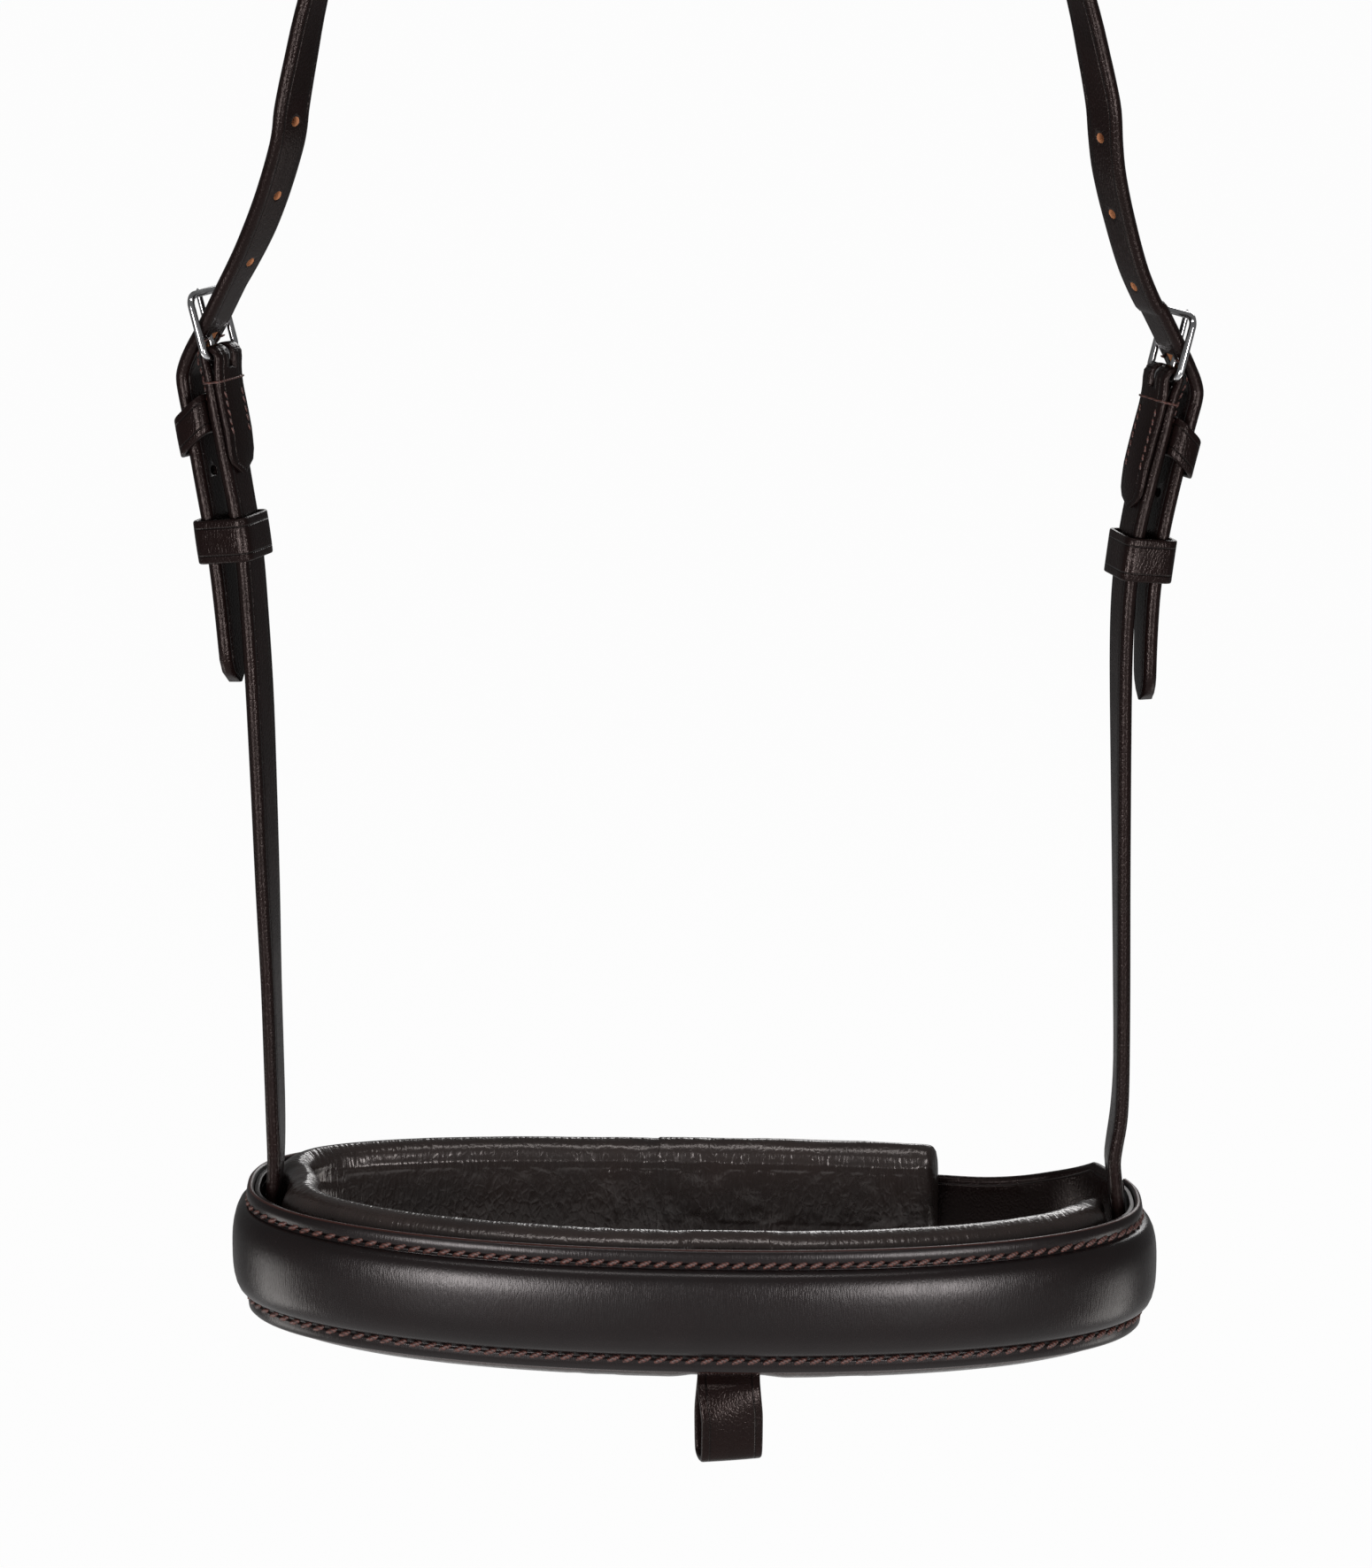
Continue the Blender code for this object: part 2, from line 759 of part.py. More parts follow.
def on_plan(curve, share, out=0.0):
    """The point of a plan curve at a share of its length, moved outwards, and the outward direction."""
    count = len(curve)
    spot = (share % 1) * count
    low = int(spot) % count
    point = curve[low].lerp(curve[(low + 1) % count], spot - int(spot))
    reach = count // 120
    travel = (curve[(low + 1 + reach) % count] - curve[low - reach]).normalized()
    normal = Vector((travel.y, -travel.x))
    return point + normal * out, normal


def share_at_back(curve, x):
    """The share of a plan curve's length at which its back half has this x."""
    places = [place for place, point in enumerate(curve) if point.y > 0]
    return min(places, key=lambda place: abs(curve[place].x - x)) / len(curve)


def share_at_side(curve, y):
    """The share at which the right side has this y."""
    places = [place for place, point in enumerate(curve) if point.x > 0]
    return min(places, key=lambda place: abs(curve[place].y - y)) / len(curve)


def slack_at(point):
    """How far the lining stands off the backing at a point of the noseband's plan."""
    depth, least, power = (NOSE_FRONT_DEPTH, FRONT_SLACK, 1) if point.y < 0 else (NOSE_BACK_DEPTH, GAP, 1.5)
    side = max(1 - abs(point.y) / depth, 0) ** power
    return least + (SIDE_SLACK - least) * side


def tilted_up():
    """The direction across a strap that runs level in the tilted noseband."""
    return Vector((math.sin(NOSE_TILT), 0, math.cos(NOSE_TILT)))


def tilt_at(x):
    """How much higher the tilted noseband stands at this place across it."""
    return (NOSE_TILT_CENTRE - x) * math.tan(NOSE_TILT)


def band(name, curve, start, stop, section, drop, finish, slack=False):
    """Carries a section of (n, z) points along a stretch of a plan curve; section takes the length from either end.

    Every band has its rings at the same places round the curve, so bands that lie on each other stay apart.
    """
    length = run_lengths(curve)[-1]
    least = GAP / length
    shares = [start]
    shares += [place / NOSE_RINGS for place in range(-NOSE_RINGS, NOSE_RINGS)]
    shares = [start] + [share for share in shares if start + least < share < stop - least] + [stop]
    cover = OUTER_THICK + GAP + BACKING_THICK
    rows = []
    for share in shares:
        point, normal = on_plan(curve, share)
        shift = -(cover + slack_at(point)) if slack else 0
        outline = section(min(share - start, stop - share) * length)
        level = tilt_at(point.x) - drop
        rows.append([Vector((*(point + normal * (n + shift)), z + level)) for n, z in outline])
    return loft(name, rows, finish)


def bulge_profile(depth, half_height, shares):
    found = []
    for share in shares:
        height = (1 - abs(share) ** BULGE_POWER) ** (1 / BULGE_POWER)
        found.append((depth * height, share * half_height))
    return found


BULGE_SHARES = [-1, -0.95, -0.75, -0.3, 0.3, 0.75, 0.95, 1]


def outer_section(fade):
    """The outer leather: flat along both long edges and raised between them, by a share of the full depth."""
    half = NOSE_HEIGHT / 2
    face = bulge_profile(BULGE_DEPTH * fade, BULGE_HEIGHT / 2, BULGE_SHARES)
    hollow = bulge_profile(BULGE_DEPTH * fade, BULGE_HEIGHT / 2 - OUTER_THICK, BULGE_SHARES)
    under = [(n - OUTER_THICK, z) for n, z in hollow]
    return [(0, -half)] + face + [(0, half), (-OUTER_THICK, half)] + under[::-1] + [(-OUTER_THICK, -half)]


def core_section(reach):
    half = BULGE_HEIGHT / 2 - OUTER_THICK - GAP
    face = bulge_profile(BULGE_DEPTH - GAP, half, BULGE_SHARES)
    return [(n - OUTER_THICK, z) for n, z in face]


def channel_section(height):
    """The lining: a wrap with rolled top and bottom, open towards the backing."""
    half = height / 2
    outer = rounded_rectangle(-PAD_THICK, 0, -half, half, LINING_ROLL, steps=2)
    low, high = -PAD_THICK + LINING_THICK, -LINING_THICK
    depth = half - LINING_THICK
    inner = rounded_rectangle(low, high, -depth, depth, LINING_ROLL - LINING_THICK, steps=2)
    lip = half - LINING_LIP
    wrap = [(0, lip)] + outer + [(0, -lip)]
    return wrap + [(-LINING_THICK, -lip)] + inner[::-1] + [(-LINING_THICK, lip)]


def foam_section(height):
    inset = LINING_THICK + GAP
    half = height / 2 - inset
    return rounded_rectangle(-PAD_THICK + inset, -inset, -half, half, LINING_ROLL - inset, steps=1)


def flat_section(low, high, height):
    half = height / 2
    return [(low, -half), (low, half), (high, half), (high, -half)]


def make_noseband(curve, finishes):
    """The shaped outer leather, its core and backing, and the padded lining inside them."""
    length = run_lengths(curve)[-1]
    right = share_at_side(curve, OUTER_SIDE_END)
    left = share_at_back(curve, -OUTER_BACK_END) - 1
    seam = share_at_back(curve, -PAD_SEAM_OUT) - 1 + GAP / 2 / length

    def outer(reach):
        share = math.sin(math.pi / 2 * min(reach / BULGE_FADE, 1))
        return outer_section(max(share, OUTER_THICK / NOSE_HEIGHT))

    band("noseband_outer", curve, left, right, outer, NOSE_DROP, finishes["bridle"])
    trim = (BULGE_FADE + length / NOSE_RINGS) / length
    band("noseband_core", curve, left + trim, right - trim, core_section, NOSE_DROP, finishes["core"])
    low = -OUTER_THICK - GAP - BACKING_THICK
    backing = flat_section(low, low + BACKING_THICK, NOSE_HEIGHT - BACKING_INSET * 2)
    band("noseband_backing", curve, seam, right, lambda reach: backing, NOSE_DROP, finishes["bridle"])
    right = share_at_side(curve, LINING_SIDE_END)
    drop = NOSE_DROP - LINING_RISE
    wrap = channel_section(LINING_HEIGHT)
    fill = foam_section(LINING_HEIGHT)
    band("noseband_lining", curve, seam, right, lambda reach: wrap, drop, finishes["lining"], True)
    band("noseband_foam", curve, seam, right, lambda reach: fill, drop, finishes["foam"], True)


def make_jaw_pad(curve, finishes):
    """The separate pad under the jaw, which meets the noseband's lining at a seam."""
    length = run_lengths(curve)[-1]
    start = share_at_back(curve, JAW_PAD_END)
    stop = share_at_back(curve, -PAD_SEAM_OUT) - GAP / 2 / length
    wrap = channel_section(JAW_PAD_HEIGHT)
    fill = foam_section(JAW_PAD_HEIGHT)
    band("jaw_pad_lining", curve, start, stop, lambda reach: wrap, JAW_DROP, finishes["lining"], True)
    band("jaw_pad_foam", curve, start, stop, lambda reach: fill, JAW_DROP, finishes["foam"], True)
    low = -OUTER_THICK - GAP - BACKING_THICK
    backing = flat_section(low, low + BACKING_THICK, JAW_PAD_HEIGHT - BACKING_INSET * 2)
    band("jaw_pad_backing", curve, start, stop, lambda reach: backing, JAW_DROP, finishes["bridle"])


def make_jaw_group(curve):
    """The buckle group behind the jaw: p runs along +X, q is the distance out from the noseband's outer face."""

    def place(pair):
        point, normal = on_plan(curve, share_at_x(curve, pair[0]), pair[1])
        return Vector((point.x, point.y, tilt_at(point.x) - JAW_STRAP_DROP))

    def across(pair):
        return tilted_up()

    sizes = {
        "chape_name": "_chape_strap",
        "width": JAW_STRAP_WIDTH,
        "thick": JAW_STRAP_THICK,
        "tail": FOLD_THICK,
        "tail_length": JAW_TAIL_LENGTH,
        "wire": JAW_WIRE_RADIUS,
        "frame_length": JAW_FRAME_LENGTH,
        "standoff": JAW_STANDOFF,
        "tip_standoff": JAW_STANDOFF,
        "keeper": JAW_KEEPER_THICK,
        "fixed_place": JAW_FIXED_KEEPER_PLACE,
        "fixed_height": JAW_KEEPER_HEIGHT,
        "fixed_slope": 0,
        "runner_place": JAW_RUNNER_PLACE,
        "runner_height": JAW_KEEPER_HEIGHT,
    }
    stand = JAW_WIRE_RADIUS + GAP * 2 + FOLD_THICK - OUTER_THICK
    heel = Vector((JAW_HEEL_OUT, stand))
    up = Vector((math.cos(JAW_FRAME_LEAN), math.sin(JAW_FRAME_LEAN)))
    out = Vector((-math.sin(JAW_FRAME_LEAN), math.cos(JAW_FRAME_LEAN)))
    return BuckleGroup("jaw", heel, up, out, sizes, place, across, 1, -1)


def share_at_x(curve, x):
    """The share of the back half at this x, read between the curve's points."""
    count = len(curve)
    low = share_at_back(curve, x)
    place = round(low * count)
    near, far = curve[place - 1].x, curve[place + 1].x
    return (place - 1 + 2 * (x - near) / (far - near)) / count


def jaw_seam(group):
    seat = -OUTER_THICK
    rise = group.heel.y - seat
    length = group.heel.x + OUTER_BACK_END - GAP - JAW_STRAP_WIDTH * math.tan(NOSE_TILT)
    points = [group.heel]
    for along, stand in JAW_SEAM_SHARES:
        points.append(Vector((group.heel.x - length * along, seat + rise * stand)))
    return smooth_route(points)


def make_jaw_billet(group, seam, curve, finish):
    """The plain strap from the right end of the noseband, through the jaw buckle to its punched tip."""
    seat = -OUTER_THICK - GAP - BACKING_THICK - SEAT_GAP - JAW_STRAP_THICK / 2
    start = share_at_side(curve, JAW_STRAP_START)
    leave = share_at_side(curve, OUTER_SIDE_END)
    passing = -OUTER_THICK + JAW_STRAP_THICK / 2 + JAW_PASS_LIFT
    far = group.heel.x + group.sizes["frame_length"]
    lead = [Vector((far * share, passing)) for share in (3.0, 2.4, 1.8)]
    flat = billet_line(group, seam, JAW_BILLET_LENGTH, passing_depth(group, passing), lead)
    middle = []
    turn_in = share_at_x(curve, lead[0].x)
    for step in range(8):
        share = start + (turn_in - start) * step / 8
        way = min(max((share - leave) / ((turn_in - leave) * 0.6), 0), 1)
        out = seat + (passing - seat) * (3 * way**2 - 2 * way**3)
        point, normal = on_plan(curve, share, out)
        middle.append(Vector((point.x, point.y, tilt_at(point.x) - JAW_STRAP_DROP)))
    route = smooth_route(middle + [group.place(flat[0])])[:-1] + [group.place(pair) for pair in flat]
    shares = tip_shares(route, TIP_LENGTH)
    lengths = run_lengths(route)
    root = JAW_STRAP_ROOT_WIDTH

    def section(place):
        flare = max(1 - lengths[place] / root, 0) ** 2
        width = (JAW_STRAP_WIDTH + (root - JAW_STRAP_WIDTH) * flare) * shares[place]
        return strap_section(width, -JAW_STRAP_THICK / 2, JAW_STRAP_THICK / 2, STRAP_EDGE)

    strap = sweep("jaw_billet_strap", route, [tilted_up()] * len(route), section, finish)
    cut(strap, tongue_path_cutter(group, finish))
    return strap


def passing_depth(group, passing):
    """How far inside the frame's line the strap passes the far bar."""
    return (group.heel + group.up * group.sizes["frame_length"]).y - passing


def make_flash_loop(finish):
    """A loop of leather whose two ends go up between the backing and the lining."""
    behind = -NOSE_FRONT_DEPTH + OUTER_THICK + GAP + BACKING_THICK
    clear = (FRONT_SLACK - FLASH_TAB_THICK * 2) / 3
    front_tab = behind + clear + FLASH_TAB_THICK / 2
    back_tab = behind + clear * 2 + FLASH_TAB_THICK * 1.5
    middle = (front_tab + back_tab) / 2
    half = FLASH_DEPTH / 2
    edge = tilt_at(FLASH_CENTRE) - NOSE_DROP + LINING_RISE - LINING_HEIGHT / 2
    low = edge - FLASH_HANG + FLASH_THICK / 2
    height = edge - low
    points = [Vector((FLASH_CENTRE, front_tab, edge + FLASH_TAB_HEIGHT * share)) for share in (1, 0.5, 0.1)]
    outline = [(-0.72, 0.86), (-1, 0.62), (-1, 0.3), (-0.85, 0.06), (-0.4, 0), (0.4, 0), (0.85, 0.06), (1, 0.3)]
    outline += [(1, 0.62), (0.72, 0.86)]
    for out, up in outline:
        points.append(Vector((FLASH_CENTRE, middle + half * out, low + height * up)))
    points += [Vector((FLASH_CENTRE, back_tab, edge + FLASH_TAB_HEIGHT * share)) for share in (0.1, 0.5, 1)]
    route = smooth_route(points, 2)

    def section(place):
        above = route[place].z > edge - FLASH_THICK
        thick = FLASH_TAB_THICK if above else FLASH_THICK
        return strap_section(FLASH_WIDTH, -thick / 2, thick / 2, thick / 4)

    return sweep("flash_loop", route, [Vector((1, 0, 0))] * len(route), section, finish)


def make_fastening(group, seam, finishes):
    """A folded strap with its buckle and keepers; what moves has its origin on its own axis."""
    folded_strap(group, seam, finishes["bridle"])
    fixed_keeper(group, seam, finishes["bridle"])
    runner = runner_keeper(group, seam, finishes["bridle"])
    set_origin(runner, group.place(at_length(seam, group.sizes["runner_place"])[0]))
    heel = group.axes()[0]
    set_origin(buckle_frame(group, finishes["steel"]), heel)
    set_origin(buckle_tongue(group, finishes["steel"]), heel)


def main():
    clear_scene()
    finishes = {
        "bridle": material("bridle_leather", (0.022, 0.014, 0.012), 0.42),
        "lining": material("lining_leather", (0.020, 0.015, 0.014), 0.55),
        "core": material("core_filler", (0.10, 0.07, 0.05), 0.8),
        "foam": material("foam", (0.12, 0.12, 0.12), 0.9),
        "steel": material("steel", (0.62, 0.62, 0.63), 0.18, 1.0),
    }
    groups = {name: make_side_group(name) for name in SIDES}
    seams = {name: hanger_seam(name) for name in SIDES}
    make_headstrap(groups, seams, finishes["bridle"])
    for name, group in groups.items():
        make_fastening(group, seams[name], finishes)
    curve = plan_curve(NOSE_HALF_WIDTH, NOSE_FRONT_DEPTH, NOSE_BACK_DEPTH)
    make_noseband(curve, finishes)
    make_jaw_pad(curve, finishes)
    jaw = make_jaw_group(curve)
    seam = jaw_seam(jaw)
    make_fastening(jaw, seam, finishes)
    make_jaw_billet(jaw, seam, curve, finishes["bridle"])
    make_flash_loop(finishes["bridle"])


main()
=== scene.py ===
import math

import bmesh
import bpy
from mathutils import Matrix, Vector, noise


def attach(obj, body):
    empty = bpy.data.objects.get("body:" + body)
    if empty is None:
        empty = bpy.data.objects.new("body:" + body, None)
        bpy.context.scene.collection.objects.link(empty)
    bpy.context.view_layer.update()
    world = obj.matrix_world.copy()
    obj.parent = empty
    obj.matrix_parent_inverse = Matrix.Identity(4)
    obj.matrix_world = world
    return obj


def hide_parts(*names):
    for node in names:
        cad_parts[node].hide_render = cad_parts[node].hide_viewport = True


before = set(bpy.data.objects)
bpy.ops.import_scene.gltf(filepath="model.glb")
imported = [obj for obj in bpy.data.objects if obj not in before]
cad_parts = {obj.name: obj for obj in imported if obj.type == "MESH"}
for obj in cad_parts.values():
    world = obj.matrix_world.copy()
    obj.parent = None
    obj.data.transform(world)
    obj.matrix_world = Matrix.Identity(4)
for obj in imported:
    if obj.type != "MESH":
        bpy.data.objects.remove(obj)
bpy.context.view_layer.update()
print("frame loaded")

# the camera, floor and light come first, then the finishes, then the pieces
studio = {
    "cameraPlace": (-0.0026, -1.9406, 0.1508),
    "cameraTilt": 76,  # degrees from straight down
    "lens": 154.4,
    "floorDrop": 0.78,
    "floorSize": 16,
    "floorColour": (0.36, 0.36, 0.36),
    "floorGlow": 0.975,
    # the floor's white is mirrored in full up to the first distance, and at farGlow beyond the second
    "glowReach": (0.28, 0.75),
    "farGlow": 0.1,
    "ambient": 0.18,
    # name: place, aim, size, watts, colour
    "lamps": {
        "overhead": ((-0.05, -0.70, 0.90), (0, 0, -0.42), (1.1, 0.14), 6, (1.0, 0.98, 0.97)),
        "leftBox": ((-0.74, -1.40, -0.36), (-0.03, 0, -0.46), (0.46, 0.54), 19, (1.0, 0.97, 0.97)),
        "rightBox": ((0.76, -1.40, -0.36), (0.03, 0, -0.46), (0.44, 0.54), 16, (1.0, 0.97, 0.97)),
        "lowLeft": ((-0.50, 0, -0.772), (-0.14, 0, -0.48), (0.24, 0.45), 1.5, (1.0, 0.98, 0.95)),
        "lowRight": ((0.50, 0, -0.772), (0.14, 0, -0.48), (0.20, 0.40), 1.0, (1.0, 0.98, 0.95)),
        "behind": ((0.4, 1.3, 0.25), (0, 0, -0.42), (0.9, 0.4), 8, (1.0, 1.0, 1.0)),
    },
}


def addNode(tree, kind, wires=None, **settings):
    node = tree.nodes.new("ShaderNode" + kind)
    for label, value in settings.items():
        setattr(node, label, value)
    for label, value in (wires or {}).items():
        if isinstance(value, bpy.types.NodeSocket):
            tree.links.new(value, node.inputs[label])
        else:
            node.inputs[label].default_value = value
    return node


def maths(tree, operation, *values):
    return addNode(tree, "Math", dict(enumerate(values)), operation=operation).outputs[0]


def vectors(tree, operation, *values):
    return addNode(tree, "VectorMath", dict(enumerate(values)), operation=operation).outputs[0]


def mapped(tree, value, came=(0, 1), goes=(0, 1), **settings):
    # moves a value from the range it came in to the range it goes to
    labels = ("Value", "From Min", "From Max", "To Min", "To Max")
    return addNode(tree, "MapRange", dict(zip(labels, (value, *came, *goes))), **settings).outputs[0]


def noiseOn(tree, place, scale, detail, distortion=0, output="Fac"):
    wires = {"Vector": place, "Scale": scale, "Detail": detail, "Distortion": distortion}
    return addNode(tree, "TexNoise", wires).outputs[output]


def objectPlace(tree):
    return addNode(tree, "TexCoord").outputs["Object"]


def carried(tree, name):
    # a value that the mesh carries, written where its sections are laid out
    return addNode(tree, "Attribute", attribute_name=name).outputs["Fac"]


def aimAt(item, place, target):
    away = Vector(place) - Vector(target)
    item.matrix_world = Matrix.Translation(place) @ away.to_track_quat("Z", "Y").to_matrix().to_4x4()


def addCamera(scene):
    scene.view_settings.view_transform = "Standard"
    camera = bpy.data.objects.new("camera", bpy.data.cameras.new("camera"))
    camera.location = studio["cameraPlace"]
    camera.rotation_euler = (math.radians(studio["cameraTilt"]), 0, 0)
    camera.data.lens = studio["lens"]
    scene.collection.objects.link(camera)
    scene.camera = camera


def addLight(scene):
    for name, (place, target, size, watts, colour) in studio["lamps"].items():
        lamp = bpy.data.objects.new(name, bpy.data.lights.new(name, "AREA"))
        lamp.data.shape = "RECTANGLE"
        lamp.data.size, lamp.data.size_y = size
        lamp.data.energy = watts
        lamp.data.color = colour
        lamp.visible_camera = False
        scene.collection.objects.link(lamp)
        aimAt(lamp, place, target)

    world = bpy.data.worlds.new("studio")
    world.use_nodes = True
    tree = world.node_tree
    tree.nodes.clear()
    sky = addNode(tree, "Background", {"Color": (1, 1, 1, 1), "Strength": studio["ambient"]})
    addNode(tree, "OutputWorld", {"Surface": sky.outputs[0]})
    scene.world = world


def addFloor(scene):
    # white to the camera and in near reflections, matt grey to all other light
    shape = bmesh.new()
    bmesh.ops.create_grid(shape, x_segments=2, y_segments=2, size=studio["floorSize"] / 2)
    bmesh.ops.translate(shape, verts=shape.verts, vec=(0, 0, -studio["floorDrop"]))
    mesh = bpy.data.meshes.new("floor")
    shape.to_mesh(mesh)
    shape.free()
    floor = bpy.data.objects.new("floor", mesh)
    scene.collection.objects.link(floor)
    paper = bpy.data.materials.new("paper")
    paper.use_nodes = True
    tree = paper.node_tree
    tree.nodes.clear()
    path = addNode(tree, "LightPath").outputs
    flat = vectors(tree, "MULTIPLY", objectPlace(tree), (1, 1, 0))
    away = addNode(tree, "VectorMath", {0: flat}, operation="LENGTH").outputs["Value"]
    near = mapped(tree, away, studio["glowReach"], (1, studio["farGlow"]), interpolation_type="SMOOTHSTEP")
    mirrored = maths(tree, "MAXIMUM", path["Is Glossy Ray"], path["Is Transmission Ray"])
    seen = maths(tree, "MAXIMUM", path["Is Camera Ray"], maths(tree, "MULTIPLY", mirrored, near))
    share = maths(tree, "MULTIPLY", seen, studio["floorGlow"])
    matt = addNode(tree, "BsdfDiffuse", {"Color": (*studio["floorColour"], 1)})
    white = addNode(tree, "Emission", {"Color": (1, 1, 1, 1), "Strength": 1.0})
    both = addNode(tree, "MixShader", {0: share, 1: matt.outputs[0], 2: white.outputs[0]})
    addNode(tree, "OutputMaterial", {"Surface": both.outputs[0]})
    floor.data.materials.append(paper)


addCamera(bpy.context.scene)
addLight(bpy.context.scene)
addFloor(bpy.context.scene)
print("studio ready")


def newGroup(name, inputs, outputs):
    tree = bpy.data.node_groups.new(name, "ShaderNodeTree")
    for label, value in inputs.items():
        tree.interface.new_socket(label, in_out="INPUT", socket_type="NodeSocketFloat").default_value = value
    for label in outputs:
        tree.interface.new_socket(label, in_out="OUTPUT", socket_type="NodeSocketFloat")
    return tree, tree.nodes.new("NodeGroupInput"), tree.nodes.new("NodeGroupOutput")


def useGroup(tree, group, values):
    node = addNode(tree, "Group", node_tree=group)
    for label, value in values.items():
        node.inputs[label].default_value = value
    return node


def makeGrainGroup():
    # pebbled skin grain with pores, gathered wrinkles, and slow patches of tone
    look = {
        "warpScale": 260, "warp": 0.0012, "pebbleEdge": 0.22, "fineScale": 2400,
        "gatherReach": 0.28, "gatherBend": 0.4, "toneRange": (0.3, 0.7),
    }
    inputs = {"Pebbles": 900, "Patches": 45, "Stretch": 1, "Fine": 0.3, "Folds": 300, "FoldDepth": 0}
    tree, start, end = newGroup("hideGrain", inputs, ["Height", "Tone"])
    given, place = start.outputs, objectPlace(tree)
    stretch = addNode(tree, "CombineXYZ", {"X": 1.0, "Y": 1.0, "Z": given["Stretch"]}).outputs[0]
    pulled = vectors(tree, "MULTIPLY", place, stretch)
    warp = noiseOn(tree, pulled, look["warpScale"], 2, output="Color")
    offset = addNode(tree, "VectorMath", {0: warp, "Scale": look["warp"]}, operation="SCALE").outputs[0]
    wires = {"Vector": vectors(tree, "ADD", pulled, offset), "Scale": given["Pebbles"]}
    cells = addNode(tree, "TexVoronoi", wires, feature="DISTANCE_TO_EDGE").outputs["Distance"]
    raised = mapped(tree, cells, (0, look["pebbleEdge"]), interpolation_type="SMOOTHSTEP")
    height = maths(tree, "MULTIPLY_ADD", noiseOn(tree, pulled, look["fineScale"], 3), given["Fine"], raised)
    # the gathers lie across the piece, so they are drawn on its own length and width
    wide = maths(tree, "MULTIPLY", carried(tree, "across"), look["gatherReach"])
    gathered = addNode(tree, "CombineXYZ", {"X": carried(tree, "along"), "Y": wide}).outputs[0]
    folds = maths(tree, "SUBTRACT", noiseOn(tree, gathered, given["Folds"], 1, look["gatherBend"]), 0.5)
    height = maths(tree, "MULTIPLY_ADD", folds, given["FoldDepth"], height)
    tree.links.new(height, end.inputs["Height"])
    patches = noiseOn(tree, place, given["Patches"], 4)
    tree.links.new(mapped(tree, patches, look["toneRange"]), end.inputs["Tone"])
    return tree


def makeEdgeGroup():
    # a strap's cut edge and its creased line, from how far each point is from the strap's long edge; the crease
    # mask also places painted shade in the crease's groove
    cutReach = (0.0001, 0.0004)
    tree, start, end = newGroup("strapEdge", {"Inset": 0.0017, "Width": 0.00035}, ["Cut", "CreaseAndShade"])
    side = maths(tree, "ABSOLUTE", carried(tree, "across"))
    inset = maths(tree, "SUBTRACT", carried(tree, "halfWidth"), side)
    fromLine = maths(tree, "ABSOLUTE", maths(tree, "SUBTRACT", inset, start.outputs["Inset"]))
    line = mapped(tree, fromLine, (0, start.outputs["Width"]), (1, 0), interpolation_type="SMOOTHSTEP")
    tree.links.new(mapped(tree, inset, cutReach, (1, 0)), end.inputs["Cut"])
    tree.links.new(line, end.inputs["CreaseAndShade"])
    return tree


grainGroup = makeGrainGroup()
edgeGroup = makeEdgeGroup()


def newMaterial(name):
    made = bpy.data.materials.new(name)
    made.use_nodes = True
    return made, made.node_tree, made.node_tree.nodes["Principled BSDF"]


def mixColour(tree, share, low, high):
    mix = addNode(tree, "Mix", {0: share}, data_type="RGBA")
    for place, value in ((6, low), (7, high)):
        if isinstance(value, bpy.types.NodeSocket):
            tree.links.new(value, mix.inputs[place])
        else:
            mix.inputs[place].default_value = (*value, 1)
    return mix.outputs[2]


def addBump(tree, shader, height, strength, distance):
    bump = addNode(tree, "Bump", {"Height": height, "Strength": strength, "Distance": distance})
    tree.links.new(bump.outputs[0], shader.inputs["Normal"])


def makeHide(name, look):
    # dyed leather: dark face, redder and rougher cut edge, a sunk creased line darkened with painted shade of
    # its groove, grain and patches of gloss
    cutRoughness = 0.06
    keys = {"Pebbles": "pebbles", "Patches": "patches", "Stretch": "stretch", "Fine": "fine"}
    keys.update({"Folds": "folds", "FoldDepth": "foldDepth"})
    made, tree, shader = newMaterial(name)
    grain = useGroup(tree, grainGroup, {label: look[key] for label, key in keys.items()}).outputs
    edge = useGroup(tree, edgeGroup, {"Inset": look["inset"], "Width": look["lineWidth"]}).outputs
    face = mixColour(tree, grain["Tone"], look["dark"], look["light"])
    # painted shade: the creased line is darkened towards the line colour, standing in for the shade in its
    # groove where the stitches sit
    face = mixColour(tree, edge["CreaseAndShade"], face, look["line"])
    face = mixColour(tree, maths(tree, "MULTIPLY", edge["Cut"], look["cutShare"]), face, look["cut"])
    tree.links.new(face, shader.inputs["Base Color"])
    rough = mapped(tree, grain["Tone"], goes=look["roughness"][::-1])
    rough = maths(tree, "MULTIPLY_ADD", edge["Cut"], cutRoughness, rough)
    tree.links.new(rough, shader.inputs["Roughness"])
    sunk = maths(tree, "MULTIPLY", edge["CreaseAndShade"], -look["lineDepth"])
    height = maths(tree, "MULTIPLY_ADD", grain["Height"], look["grainDepth"], sunk)
    addBump(tree, shader, height, 1.0, 1.0)
    shader.inputs["Specular IOR Level"].default_value = look["gloss"]
    shader.inputs["Specular Tint"].default_value = (*look["tint"], 1)
    return made
